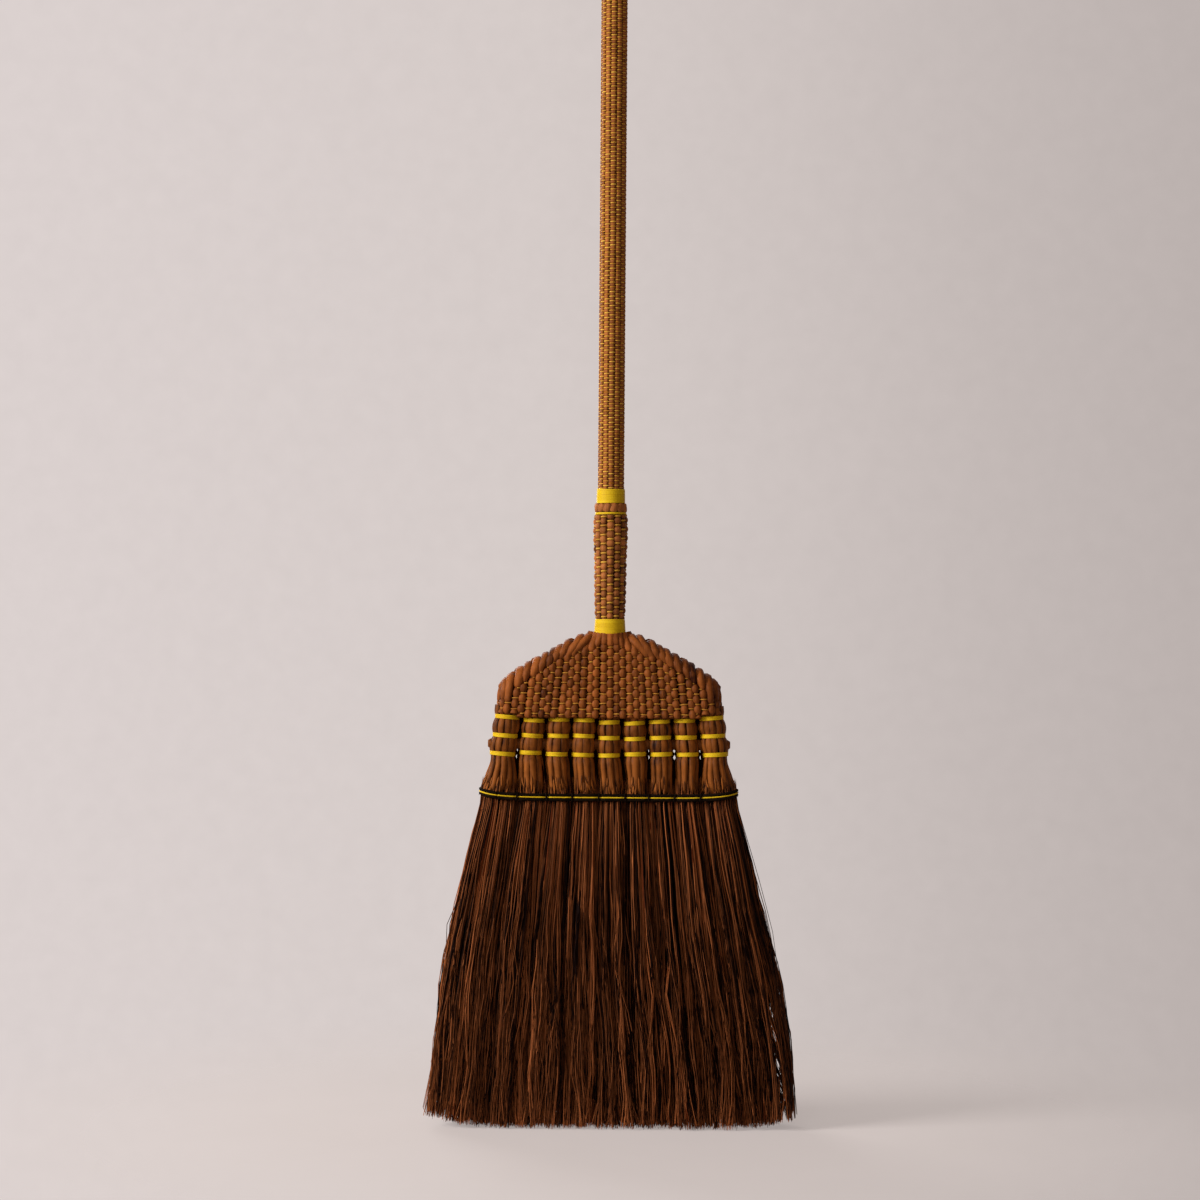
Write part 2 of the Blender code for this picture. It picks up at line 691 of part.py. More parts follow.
def bundle_profile():
    """The levels of a bundle from its foot up, as (height, inset, groove): waists under the bindings, barrels between."""
    seat = BINDING_HEIGHT / 2 + SEAT_GAP
    levels = [(FOOT_Z, 0, BUNDLE_GROOVE), (LOW_BINDING_Z - seat - FOOT_FLARE, 0, BUNDLE_GROOVE)]
    heights = (LOW_BINDING_Z, MID_BINDING_Z, TOP_BINDING_Z)
    for binding, above in zip(heights, heights[1:] + (None,)):
        levels.append((binding - seat, WAIST_INSET, 0))
        levels.append((binding + seat, WAIST_INSET, 0))
        if above:
            span = above - binding - 2 * seat
            levels.extend((binding + seat + span * share, 0, BUNDLE_GROOVE) for share in BARREL_SHARES)
    levels[-1] = (BUNDLE_TOP_Z, WAIST_INSET, 0)
    return sorted(levels)


def build_bundle(index, collection, cutters, material):
    """One bundle: fluted barrels between its waists, a squarer foot, a core on top and a bore for the rod."""
    bm = bmesh.new()
    sections = [bundle_section(index, height, inset, groove) for height, inset, groove in bundle_profile()]
    sections.append(core_section(index, BUNDLE_TOP_Z))
    sections.append(core_section(index, BUNDLE_TOP_Z + CORE_LENGTH))
    loft(bm, sections, joined_ends=False)
    obj = add_mesh(f"bundle_{index + 1}", bm, collection, material)
    half = bundle_half_width(index, ROD_Z) + CUT_OVERRUN
    bore = rod_solid(f"rod_bore_{index + 1}", bundle_offset(index, ROD_Z), half, SEAT_GAP, 0, cutters)
    add_boolean(obj, bore, "DIFFERENCE")
    return obj


def rod_solid(name, middle, half_length, grown, chamfer, collection, material=None):
    """A round bar along X at the cross rod's place, with chamfered ends."""
    radius = ROD_DIAMETER / 2 + grown
    stops = [(-half_length, radius - chamfer), (half_length, radius - chamfer)]
    if chamfer:
        stops[1:1] = [(-half_length + chamfer, radius), (half_length - chamfer, radius)]
    sections = []
    for x, reach in stops:
        ring = circle_section(reach, 0, ROD_FACETS)
        sections.append([(middle + x, a, ROD_Z + b) for a, b, _ in ring])
    bm = bmesh.new()
    loft(bm, sections, joined_ends=False)
    return add_mesh(name, bm, collection, material)


def build_rod(collection, material):
    """The cross rod that threads all the bundles, its ends just proud of the outer two."""
    return rod_solid("cross_rod", 0, HEAD_WIDTH / 2 + ROD_PROUD, 0, ROD_CHAMFER, collection, material)


def build_binding(name, index, height, collection, material):
    """A band of twine round one bundle's waist."""
    low = height - BINDING_HEIGHT / 2
    high = height + BINDING_HEIGHT / 2
    seat = WAIST_INSET - SEAT_GAP
    face = seat - BINDING_THICKNESS
    levels = [(low, seat), (high, seat), (high, face), (low, face)]
    bm = bmesh.new()
    loft(bm, [binding_section(index, height, level, inset) for level, inset in levels], joined_ends=True)
    return add_mesh(name, bm, collection, material)


def binding_section(index, seat_height, level, inset):
    """A level outline that keeps the waist's size at the binding's middle, so that its wall stands upright."""
    middle_shift = bundle_offset(index, level) - bundle_offset(index, seat_height)
    return [(x + middle_shift, y, level) for x, y, _ in bundle_section(index, seat_height, inset)]


# Stitched band


def stitch_height(x):
    """How much higher than its middle the stitched band runs at x."""
    return STITCH_END_RISE * (2 * abs(x) / (HEAD_WIDTH * fan(STITCH_Z))) ** 4


def stitch_path(drop, radius):
    """A cord's way round all the bundles, resting on their faces, drop above the band's middle line."""
    end = bundle_offset(BUNDLE_COUNT - 1, STITCH_LOW_Z)
    half_depth = head_half_depth(STITCH_LOW_Z) + SEAT_GAP + radius
    half_width = bundle_half_width(BUNDLE_COUNT - 1, STITCH_LOW_Z) + SEAT_GAP + radius
    clear_chords = 1 / math.cos(math.pi / STITCH_END_POINTS / 2)
    points = []
    for side in (1, -1):
        for k in range(STITCH_SPAN_POINTS):
            points.append((-side * end * (1 - 2 * k / STITCH_SPAN_POINTS), -side * half_depth))
        for k in range(STITCH_END_POINTS):
            angle = math.pi * (k / STITCH_END_POINTS - 0.5)
            x, y = superellipse(angle, half_width * clear_chords, half_depth, FOOT_ROUNDNESS)
            points.append((side * (end + x), side * y))
    return [Vector((x, y, STITCH_Z + drop + stitch_height(x))) for x, y in points]


def gap_middle(index, height):
    """Where the middle of the gap between a bundle and the next one is along X at a height."""
    left = bundle_offset(index, height) + bundle_half_width(index, height)
    right = bundle_offset(index + 1, height) - bundle_half_width(index + 1, height)
    return (left + right) / 2


def tie_path(index):
    """One tie's way: down over the front of the cords, through the gap below them, up the back and through."""
    front = head_half_depth(STITCH_LOW_Z) + SEAT_GAP + YELLOW_CORD_DIAMETER + SEAT_GAP + TIE_DIAMETER / 2
    half_height = YELLOW_CORD_DIAMETER / 2 + SEAT_GAP + BLACK_CORD_DIAMETER + TIE_DIAMETER / 3
    middle = STITCH_Z + stitch_height(gap_middle(index, STITCH_Z))
    low = middle - half_height
    high = middle + half_height
    corners = [(-front, high), (-front, low), (front, low), (front, high)]
    return [Vector((gap_middle(index, height), y, height)) for y, height in corners]


def build_stitches(collection, cutters, black, yellow):
    """The stitched band: two black cords with a yellow one between, and black ties through every gap."""
    offset = YELLOW_CORD_DIAMETER / 2 + SEAT_GAP + BLACK_CORD_DIAMETER / 2
    black_radius = BLACK_CORD_DIAMETER / 2
    yellow_radius = YELLOW_CORD_DIAMETER / 2
    add_tube("stitch_yellow", stitch_path(0, yellow_radius), yellow_radius, True, 1, collection, yellow)
    upper = add_tube(
        "stitch_black", stitch_path(offset, black_radius), black_radius, True, 1, collection, black
    )
    upper = meshed(upper)
    lower = add_tube("lower_cord", stitch_path(-offset, black_radius), black_radius, True, 1, cutters)
    add_boolean(upper, meshed(lower), "UNION")
    for index in range(BUNDLE_COUNT - 1):
        tie = add_tube(f"tie_{index + 1}", tie_path(index), TIE_DIAMETER / 2, True, 0, cutters)
        add_boolean(upper, meshed(tie), "UNION")


# Bristles


def tip_height(x):
    """Height of the trimmed tips above the floor: level in the middle, a little higher at the two ends."""
    level = TIP_WIDTH / 2 * TIP_LEVEL_SHARE
    return TIP_RISE * (max(abs(x) - level, 0) / (TIP_WIDTH / 2 - level)) ** 2


def strand_places():
    """Where the strands stand in a bunch, as shares of its half width and half depth from its middle."""
    places = []
    for i in range(STRANDS_ACROSS):
        for j in range(STRANDS_DEEP):
            u = 2 * (i + 0.5) / STRANDS_ACROSS - 1
            v = 2 * (j + 0.5) / STRANDS_DEEP - 1
            reach = (abs(u) ** FOOT_ROUNDNESS + abs(v) ** FOOT_ROUNDNESS) ** (1 / FOOT_ROUNDNESS)
            inward = max(abs(u), abs(v)) / reach if reach else 1
            places.append((u * inward, v * inward))
    return places


def strand_point(index, u, v, height):
    """Where the strand at (u, v) of a bunch is at a height."""
    x = bundle_offset(index, height) + u * bundle_half_width(index, height)
    return x, v * head_half_depth(height)


def add_strand(bm, index, u, v, spin, wander):
    """One strand, a lock of fibres: a slim prism from inside the slice down to its trimmed tip."""
    root = BRISTLE_LENGTH + SLICE_THICKNESS / 2
    tip = tip_height(strand_point(index, u, v, 0)[0])
    sections = []
    for height, radius, drift in ((tip, STRAND_TIP_RADIUS, 1), (root, STRAND_ROOT_RADIUS, 0)):
        x, y = strand_point(index, u, v, height)
        ring = circle_section(radius, height, STRAND_SIDES)
        turn = Vector((math.cos(spin), math.sin(spin)))
        sections.append([
            (x + drift * wander[0] + a * turn.x - b * turn.y, y + drift * wander[1] + a * turn.y + b * turn.x, z)
            for a, b, z in ring
        ])
    loft(bm, sections, joined_ends=False)


def build_bunch(index, collection, cutters, material):
    """One bunch of bristles: its strands, none crossing, fused to a slice of the bundle above."""
    numbers = random.Random(STRAND_SEED + index)
    bm = bmesh.new()
    top = BRISTLE_LENGTH + SLICE_THICKNESS
    loft(bm, [bundle_section(index, BRISTLE_LENGTH), bundle_section(index, top)], joined_ends=False)
    obj = add_mesh(f"bristle_bunch_{index + 1}", bm, collection, material)
    bm = bmesh.new()
    for u, v in strand_places():
        wander = (numbers.uniform(-1, 1) * STRAND_WANDER, numbers.uniform(-1, 1) * STRAND_WANDER)
        add_strand(bm, index, u, v, numbers.uniform(0, math.tau), wander)
    add_boolean(obj, add_mesh(f"strands_{index + 1}", bm, cutters), "UNION")
    return obj


def build_broom():
    """Make every piece of the broom, each as its own object."""
    clear_scene()
    broom = make_collection("broom")
    cutters = make_collection("cutters")
    wood = make_material("pale_wood", (0.48, 0.31, 0.16), 0.6)
    strips = make_material("golden_stalk", (0.42, 0.17, 0.045), 0.4)
    stalks = make_material("brown_stalk", (0.26, 0.085, 0.022), 0.42)
    bristles = make_material("dark_bristle", (0.09, 0.032, 0.012), 0.6)
    yellow = make_material("yellow_twine", (0.72, 0.49, 0.02), 0.5)
    black = make_material("black_twine", (0.012, 0.011, 0.011), 0.65)

    build_pole(broom, wood)
    build_sheath(broom, strips)
    build_end_binding(broom, yellow)
    build_collar("upper_collar", SHEATH_RADIUS, UPPER_COLLAR_Z, UPPER_COLLAR_TURNS, broom, yellow)
    build_fold(broom, stalks)
    build_neck_ring(broom, yellow)
    build_neck(broom, cutters, stalks)
    build_collar("lower_collar", NECK_CORE_RADIUS, LOWER_COLLAR_Z, LOWER_COLLAR_TURNS, broom, yellow)
    build_shoulder(broom, cutters, stalks)
    build_rod(broom, stalks)
    bindings = (("top", TOP_BINDING_Z), ("mid", MID_BINDING_Z), ("low", LOW_BINDING_Z))
    for index in range(BUNDLE_COUNT):
        build_bundle(index, broom, cutters, stalks)
        for level, height in bindings:
            build_binding(f"binding_{level}_{index + 1}", index, height, broom, yellow)
        build_bunch(index, broom, cutters, bristles)
    build_stitches(broom, cutters, black, yellow)


build_broom()
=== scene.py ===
"""A hand-woven broom of palm stalks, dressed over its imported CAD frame.

The broom stands upright on its bristle tips: a wide head of nine bound
bundles, a woven shoulder, a plaited neck between two yellow twine collars
and a long handle under a fine weave. Lengths are in metres, Z is up and the
front of the broom faces -Y. Bundles count from 1 at the left.
"""

import logging
import math
from collections.abc import Sequence
from dataclasses import dataclass, field
from enum import Enum

import bmesh
import bpy
import numpy as np
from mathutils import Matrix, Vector


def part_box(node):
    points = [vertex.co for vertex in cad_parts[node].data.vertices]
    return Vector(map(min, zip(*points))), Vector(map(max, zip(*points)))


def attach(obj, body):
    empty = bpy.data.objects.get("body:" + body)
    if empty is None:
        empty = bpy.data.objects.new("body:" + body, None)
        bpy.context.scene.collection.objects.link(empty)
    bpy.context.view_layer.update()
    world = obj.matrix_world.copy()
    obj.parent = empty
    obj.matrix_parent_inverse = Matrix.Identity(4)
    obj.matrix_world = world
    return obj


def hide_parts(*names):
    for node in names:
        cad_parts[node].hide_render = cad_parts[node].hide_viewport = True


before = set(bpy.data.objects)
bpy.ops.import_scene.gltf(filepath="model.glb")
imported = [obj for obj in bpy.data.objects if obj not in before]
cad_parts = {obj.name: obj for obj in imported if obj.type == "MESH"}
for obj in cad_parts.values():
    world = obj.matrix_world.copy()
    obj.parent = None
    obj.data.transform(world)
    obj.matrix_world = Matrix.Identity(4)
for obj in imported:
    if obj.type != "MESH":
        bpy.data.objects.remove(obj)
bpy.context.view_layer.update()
LOG = logging.getLogger("broom")

BUNDLES = 9
MIDDLE_BUNDLE = 5
LEVELS = ("low", "mid", "top")
# The height of the stitches, where the bundles end and the bristles fan out.
FOOT = 0.2795
# Points of a mesh that lie closer than this are made one.
WELD = 1e-6
# How closely the shade on a strand keeps to its two edges.
EDGE_POWER = 2.5
RIGHT = (1.0, 0.0, 0.0)
FRONT = (0.0, -1.0, 0.0)

Point = tuple[float, float, float]
Colour = tuple[float, float, float, float]
Socket = bpy.types.NodeSocket


class Slot(Enum):
    """The names of the record's material slots."""

    GOLDEN = "golden_stalk"
    BROWN = "brown_stalk"
    BRISTLE = "dark_bristle"
    YELLOW = "yellow_twine"
    BLACK = "black_twine"


def screen(red: float, green: float, blue: float) -> Colour:
    """Turn a screen colour into the linear colour that a shader takes.

    Args:
        red: Red from 0 to 255.
        green: Green from 0 to 255.
        blue: Blue from 0 to 255.

    Returns:
        The linear colour with full alpha.
    """
    parts = []
    for value in (red, green, blue):
        share = value / 255
        parts.append(share / 12.92 if share <= 0.04045 else ((share + 0.055) / 1.055) ** 2.4)
    return (parts[0], parts[1], parts[2], 1.0)


def smooth_step(values: float | np.ndarray) -> np.ndarray:
    """Return each value eased from 0 to 1, held at the ends."""
    held = np.clip(values, 0, 1)
    return held * held * (3 - 2 * held)


def unit(vectors: np.ndarray) -> np.ndarray:
    """Return each vector at length one."""
    return vectors / np.maximum(np.linalg.norm(vectors, axis=-1, keepdims=True), 1e-12)


def facing(angle: np.ndarray) -> np.ndarray:
    """Return level directions at angles that count from the front to the right."""
    return np.stack([np.sin(angle), -np.cos(angle), np.zeros_like(angle)], axis=-1)


def aside(angle: np.ndarray, slope: float = 0.0) -> np.ndarray:
    """Return the directions to the right of such a facing, with a slope upwards."""
    return np.stack([np.cos(angle), np.sin(angle), slope * np.ones_like(angle)], axis=-1)


def stood(out: np.ndarray, radius: np.ndarray, heights: np.ndarray) -> np.ndarray:
    """Place points round the broom's middle line.

    Args:
        out: The level direction of each point.
        radius: Its distance from the middle line.
        heights: Its height.

    Returns:
        The points.
    """
    points = out * radius[:, None]
    points[:, 2] = heights
    return points


def repeated(direction: Point, count: int) -> np.ndarray:
    """Return one direction for every point of a run."""
    return np.tile(direction, (count, 1))


def span(places: np.ndarray, knots: np.ndarray) -> tuple[np.ndarray, np.ndarray, np.ndarray]:
    """Find the gap between knots that each place lies in.

    Args:
        places: The places.
        knots: The knots' places, rising.

    Returns:
        The number of the knot below each place, the gap to the next knot and the share of it behind.
    """
    below = np.clip(np.searchsorted(knots, places, side="right") - 1, 0, len(knots) - 2)
    gap = knots[below + 1] - knots[below]
    return below, gap, (places - knots[below]) / gap


def curve_between(places: np.ndarray, knots: np.ndarray, values: np.ndarray) -> np.ndarray:
    """Return values on a smooth curve through the knots.

    Args:
        places: Where the values are wanted.
        knots: The knots' places, rising.
        values: The values at the knots.

    Returns:
        The values on the curve.
    """
    slopes = np.gradient(values, knots)
    below, gap, share = span(places, knots)
    rest = 1 - share
    ends = values[below] * (1 + 2 * share) * rest**2 + values[below + 1] * (3 - 2 * share) * share**2
    return ends + gap * share * rest * (slopes[below] * rest - slopes[below + 1] * share)


def ease_between(places: np.ndarray, values: np.ndarray) -> np.ndarray:
    """Return values eased between even knots from 0 to 1, level at each knot.

    Args:
        places: Where the values are wanted.
        values: The values at the knots.

    Returns:
        The eased values.
    """
    below, _, share = span(places, np.linspace(0, 1, len(values)))
    eased = smooth_step(share)
    return values[below] * (1 - eased) + values[below + 1] * eased


@dataclass(frozen=True)
class Drift:
    """A slow random drift: the distance between its free turns, and its spread."""

    step: float
    size: float

    def along(self, rng: np.random.Generator, places: np.ndarray) -> np.ndarray:
        """Draw the drift along a run.

        Args:
            rng: The source of the random draws.
            places: The places along the run, rising.

        Returns:
            The drift at each place.
        """
        first, last = float(places[0]), float(places[-1])
        knots = np.arange(first, last + 2 * self.step, self.step)
        heights = rng.normal(0, self.size, len(knots))
        nearest = (places - first) / self.step
        below = np.floor(nearest).astype(int)
        share = smooth_step(nearest - below)
        return heights[below] * (1 - share) + heights[np.minimum(below + 1, len(knots) - 1)] * share


@dataclass(frozen=True)
class Rare:
    """Something that comes now and then: how often, and between which sizes."""

    chance: float
    least: float
    most: float

    def draw(self, rng: np.random.Generator) -> float:
        """Draw its size, or nothing."""
        return rng.uniform(self.least, self.most) if rng.random() < self.chance else 0.0


class NodeWork:
    """A node tree while it is put together."""

    def __init__(self, tree: bpy.types.NodeTree) -> None:
        """Start work on a tree."""
        self.nodes = tree.nodes
        self.links = tree.links

    def fill(self, node: bpy.types.Node, inputs: dict[str | int, Socket | float | Sequence[float]]) -> None:
        """Set a node's inputs.

        Args:
            node: The node.
            inputs: Each input with its value, or with the socket that feeds it.
        """
        for key, value in inputs.items():
            if isinstance(value, Socket):
                self.links.new(value, node.inputs[key])
            else:
                node.inputs[key].default_value = value

    def node(
        self, kind: str, inputs: dict[str | int, Socket | float | Sequence[float]], operation: str = ""
    ) -> bpy.types.Node:
        """Add a node.

        Args:
            kind: Its kind, without the first word that all kinds share.
            inputs: Each input with its value, or with the socket that feeds it.
            operation: What the node does, where its kind has a choice.

        Returns:
            The node.
        """
        made = self.nodes.new(f"ShaderNode{kind}")
        if operation:
            made.operation = operation
        self.fill(made, inputs)
        return made

    def noise(self, vector: Socket, scale: float, detail: float) -> Socket:
        """Return a cloudy pattern.

        Args:
            vector: Where the pattern is read.
            scale: How fine it is.
            detail: How many finer layers it has.

        Returns:
            The pattern, about 0 to 1.
        """
        return self.node("TexNoise", {"Scale": scale, "Detail": detail, "Vector": vector}).outputs["Fac"]

    def ramp(self, factor: Socket, stops: Sequence[tuple[float, Colour]]) -> Socket:
        """Turn a pattern into colours.

        Args:
            factor: The pattern.
            stops: Each place on the ramp and its colour, in rising order.

        Returns:
            The colour.
        """
        made = self.node("ValToRGB", {"Fac": factor})
        scale = made.color_ramp
        for position, _ in stops[2:]:
            scale.elements.new(position)
        for element, (position, colour) in zip(scale.elements, stops):
            element.position = position
            element.color = colour
        return made.outputs["Color"]


class Shader(NodeWork):
    """A material while it is put together."""

    def __init__(self, name: str) -> None:
        """Start a material with its principled surface."""
        self.material = bpy.data.materials.new(name)
        self.material.use_nodes = True
        super().__init__(self.material.node_tree)
        self.surface = self.nodes["Principled BSDF"]

    def tone(self) -> Socket:
        """Return the piece's tone, from 0 for dark to 1 for light: its own random tone with painted shade and
        light laid in.
        """
        made = self.node("Attribute", {})
        made.attribute_name = "tone"
        return made.outputs["Fac"]

    def place(self, scale: Point = (1.0, 1.0, 1.0)) -> Socket:
        """Return the place on the broom, stretched on each axis."""
        where = self.node("TexCoord", {}).outputs["Object"]
        return self.node("Mapping", {"Scale": scale, "Vector": where}).outputs["Vector"]

    def blend(self, parts: Sequence[tuple[Socket, float]], base: float) -> Socket:
        """Add up patterns by weight.

        Args:
            parts: Each pattern and its weight.
            base: The value that they are added to.

        Returns:
            The sum.
        """
        total: Socket | float = base
        for pattern, weight in parts:
            total = self.node("Math", {0: pattern, 1: weight, 2: total}, "MULTIPLY_ADD").outputs[0]
        return total

    def relief(self, height: Socket, strength: float, depth: float) -> None:
        """Raise the surface by a pattern.

        Args:
            height: The pattern.
            strength: How much of the relief shows.
            depth: The height of a full step, in metres.
        """
        bump = self.node("Bump", {"Strength": strength, "Distance": depth, "Height": height})
        self.fill(self.surface, {"Normal": bump.outputs["Normal"]})


@dataclass(frozen=True)
class FibreFinish:
    """A stalk, strand or thread with fibres along it and the tone that its mesh carries, painted shade and
    light included.

    Its colour runs from dark to light, and what would be lighter still steps back to the middle tone.
    """

    name: str
    dark: Colour
    light: Colour
    middle: Colour | None = None
    dark_at: float = 0.1
    light_at: float = 0.9
    stretch: Point = (900.0, 900.0, 40.0)
    fibre_detail: float = 3.0
    blotch_scale: float = 130.0
    blotch_detail: float = 2.0
    tone_weight: float = 0.55
    fibre_weight: float = 0.55
    blotch_weight: float = 0.45
    rough: float = 0.55
    rough_swing: float = 0.2
    bump: float = 0.35
    bump_depth: float = 0.0003
    gloss: float = 0.12

    def make(self) -> bpy.types.Material:
        """Make the material.

        Returns:
            The material.
        """
        work = Shader(self.name)
        fibres = work.noise(work.place(self.stretch), 1.0, self.fibre_detail)
        blotches = work.noise(work.place(), self.blotch_scale, self.blotch_detail)
        parts = [(work.tone(), self.tone_weight), (fibres, self.fibre_weight), (blotches, self.blotch_weight)]
        centre = 0.5 - 0.5 * (self.tone_weight + self.fibre_weight + self.blotch_weight)
        past = (self.light_at, self.middle or self.light)
        stops = ((self.dark_at, self.dark), (self.light_at, self.light), past)
        inputs = {
            "Base Color": work.ramp(work.blend(parts, centre), stops),
            "Roughness": work.blend([(fibres, self.rough_swing)], self.rough - self.rough_swing / 2),
            "Specular IOR Level": self.gloss,
        }
        work.fill(work.surface, inputs)
        work.relief(fibres, self.bump, self.bump_depth)
        return work.material


GOLDEN_STALK = FibreFinish(
    name="golden stalk",
    dark=screen(62, 20, 4),
    light=screen(208, 126, 62),
    middle=screen(178, 86, 30),
    dark_at=0.05,
    light_at=0.95,
    gloss=0.08,
)
NECK_STALK = FibreFinish(
    name="neck stalk",
    dark=screen(36, 9, 2),
    light=screen(214, 130, 68),
    middle=screen(158, 76, 28),
    dark_at=0.05,
    light_at=0.95,
    gloss=0.08,
)
BROWN_STALK = FibreFinish(
    name="brown stalk",
    dark=screen(46, 13, 2),
    light=screen(190, 106, 46),
    middle=screen(134, 74, 24),
    dark_at=0.05,
    light_at=0.95,
    gloss=0.09,
)
BUNDLE_STALK = FibreFinish(
    name="bundle stalk",
    dark=screen(30, 7, 1),
    light=screen(184, 104, 40),
    middle=screen(120, 59, 9),
    dark_at=0.05,
    light_at=0.95,
    gloss=0.09,
)
GOLDEN_WEFT = FibreFinish(
    name="golden weft",
    dark=screen(176, 98, 12),
    light=screen(255, 206, 84),
    middle=screen(230, 156, 38),
    stretch=(90.0, 90.0, 900.0),
)
NECK_WEFT = FibreFinish(
    name="neck weft",
    dark=screen(150, 86, 12),
    light=screen(246, 192, 78),
    middle=screen(214, 146, 40),
    stretch=(90.0, 90.0, 900.0),
)
BROWN_WEFT = FibreFinish(
    name="brown weft",
    dark=screen(128, 66, 12),
    light=screen(228, 164, 66),
    middle=screen(188, 116, 34),
    stretch=(90.0, 90.0, 900.0),
)
# Painted shade: the dark finish of the cores, which stand in for the shaded stalks inside the shoulder and
# the bundles.
SHADE_CORE = FibreFinish(
    name="painted shade core",
    dark=screen(18, 7, 2),
    light=screen(46, 20, 8),
    rough=0.8,
    gloss=0.0,
)
DARK_BRISTLE = FibreFinish(
    name="dark bristle",
    dark=screen(15, 3, 1),
    light=screen(200, 116, 66),
    middle=screen(114, 50, 22),
    dark_at=0.02,
    light_at=0.97,
    stretch=(700.0, 700.0, 30.0),
    tone_weight=1.0,
    fibre_weight=0.25,
    blotch_weight=0.2,
    rough=0.65,
    bump=0.0,
    gloss=0.04,
)
YELLOW_TWINE = FibreFinish(
    name="yellow twine",
    dark=screen(200, 148, 4),
    light=screen(252, 218, 40),
    middle=screen(240, 192, 12),
    stretch=(50.0, 50.0, 800.0),
    tone_weight=0.4,
    fibre_weight=0.5,
    blotch_weight=0.1,
    rough=0.5,
    bump=0.0,
)
BLACK_TWINE = FibreFinish(
    name="black twine",
    dark=screen(4, 2, 1),
    light=screen(36, 25, 18),
    middle=screen(14, 9, 6),
    stretch=(300.0, 300.0, 1600.0),
    rough=0.8,
    gloss=0.02,
    bump=0.4,
    bump_depth=0.0002,
)
PALE_WOOD = FibreFinish("pale wood", dark=screen(170, 128, 84), light=screen(222, 188, 142))


@dataclass
class Strand:
    """One stalk or thread as a run of flattened rings."""

    centres: np.ndarray
    across: np.ndarray
    outward: np.ndarray
    half_width: np.ndarray
    half_depth: np.ndarray
    tone: np.ndarray

    def capped(self) -> "Strand":
        """Add a point at each end, so that both ends close.

        Returns:
            The longer strand.
        """
        ends = [0, *range(len(self.centres)), -1]
        width, depth = self.half_width[ends], self.half_depth[ends]
        for shape in (width, depth):
            shape[0] = shape[-1] = 0
        return Strand(
            self.centres[ends], self.across[ends], self.outward[ends], width, depth, self.tone[ends]
        )


def linked(name: str, data: bpy.types.ID) -> bpy.types.Object:
    """Put a mesh, curve, lamp or camera into the scene.

    Args:
        name: The object's name.
        data: What it shows.

    Returns:
        The object.
    """
    made = bpy.data.objects.new(name, data)
    bpy.context.scene.collection.objects.link(made)
    return made


def close_up(mesh: bmesh.types.BMesh, data: bpy.types.Mesh) -> None:
    """Weld a mesh, turn its faces outwards, smooth them and store it.

    Args:
        mesh: The mesh, which is freed.
        data: Where it is stored.
    """
    bmesh.ops.remove_doubles(mesh, verts=mesh.verts, dist=WELD)
    bmesh.ops.recalc_face_normals(mesh, faces=mesh.faces)
    for face in mesh.faces:
        face.smooth = True
    mesh.to_mesh(data)
    mesh.free()


class StrandWork:
    """Gathers strands and makes them one mesh of closed tubes."""

    def __init__(self, sides: int, shade: float = 0.0) -> None:
        """Start with no strands, each to have this many sides and this much shade at its two edges."""
        self.sides = sides
        self.shade = shade
        self.mesh = bmesh.new()
        self.tone = self.mesh.verts.layers.float.new("tone")

    def lay(self, strand: Strand) -> None:
        """Roll a grid round one strand.

        Args:
            strand: The strand to add.
        """
        run = strand.capped()
        turn = math.tau * (np.arange(self.sides + 1) % self.sides) / self.sides
        wide = (run.half_width[:, None] * np.cos(turn))[..., None] * run.across[:, None, :]
        deep = (run.half_depth[:, None] * np.sin(turn))[..., None] * run.outward[:, None, :]
        places = (run.centres[:, None, :] + wide + deep).reshape(-1, 3)
        tones = (run.tone[:, None] - self.shade * np.abs(np.cos(turn)) ** EDGE_POWER).ravel()
        rings = len(run.centres) - 1
        made = bmesh.ops.create_grid(self.mesh, x_segments=self.sides, y_segments=rings, size=1.0)
        for vertex, spot, tone in zip(made["verts"], places.tolist(), tones.tolist()):
            vertex.co = spot
            vertex[self.tone] = tone

    def done(self, name: str, finish: bpy.types.Material) -> bpy.types.Object:
        """Close the strands and put them into the scene.

        Args:
            name: The piece's name.
            finish: The material that it wears.

        Returns:
            The finished piece.
        """
        data = bpy.data.meshes.new(name)
        close_up(self.mesh, data)
        data.materials.append(finish)
        return linked(name, data)


def seat(piece: bpy.types.Object, nodes: Sequence[str] = ()) -> None:
    """Fix a piece to the broom and report it.

    Args:
        piece: The finished piece.
        nodes: The CAD nodes that it stands for.
    """
    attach(piece, "root")
    if nodes:
        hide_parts(*nodes)
    LOG.info("%s: %d faces", piece.name, len(piece.data.polygons))


def thread(
    points: np.ndarray,
    outward: np.ndarray,
    height: float | np.ndarray,
    depth: float | np.ndarray,
    tone: np.ndarray,
) -> Strand:
    """Lay a flattened thread along a path.

    Args:
        points: The path.
        outward: The side of the thread that faces away from what it binds.
        height: Half its height along the surface.
        depth: Half its thickness.
        tone: Its tone along the path.

    Returns:
        The thread as a strand.
    """
    along = unit(np.gradient(points, axis=0))
    across = unit(np.cross(along, outward))
    count = len(points)
    top = unit(np.cross(across, along))
    return Strand(points, across, top, np.full(count, height), np.full(count, depth), tone)


def upright(run: np.ndarray, middle: np.ndarray, wide: np.ndarray, deep: np.ndarray, tone: float) -> Strand:
    """Stand a thick body with its width across the broom.

    Args:
        run: Its heights.
        middle: Its middle line across the broom.
        wide: Half its width.
        deep: Half its depth.
        tone: Its tone.

    Returns:
        The body as a strand.
    """
    points = np.stack([middle, np.zeros_like(run), run], axis=-1)
    count = len(run)
    return Strand(points, repeated(RIGHT, count), repeated(FRONT, count), wide, deep, np.full(count, tone))


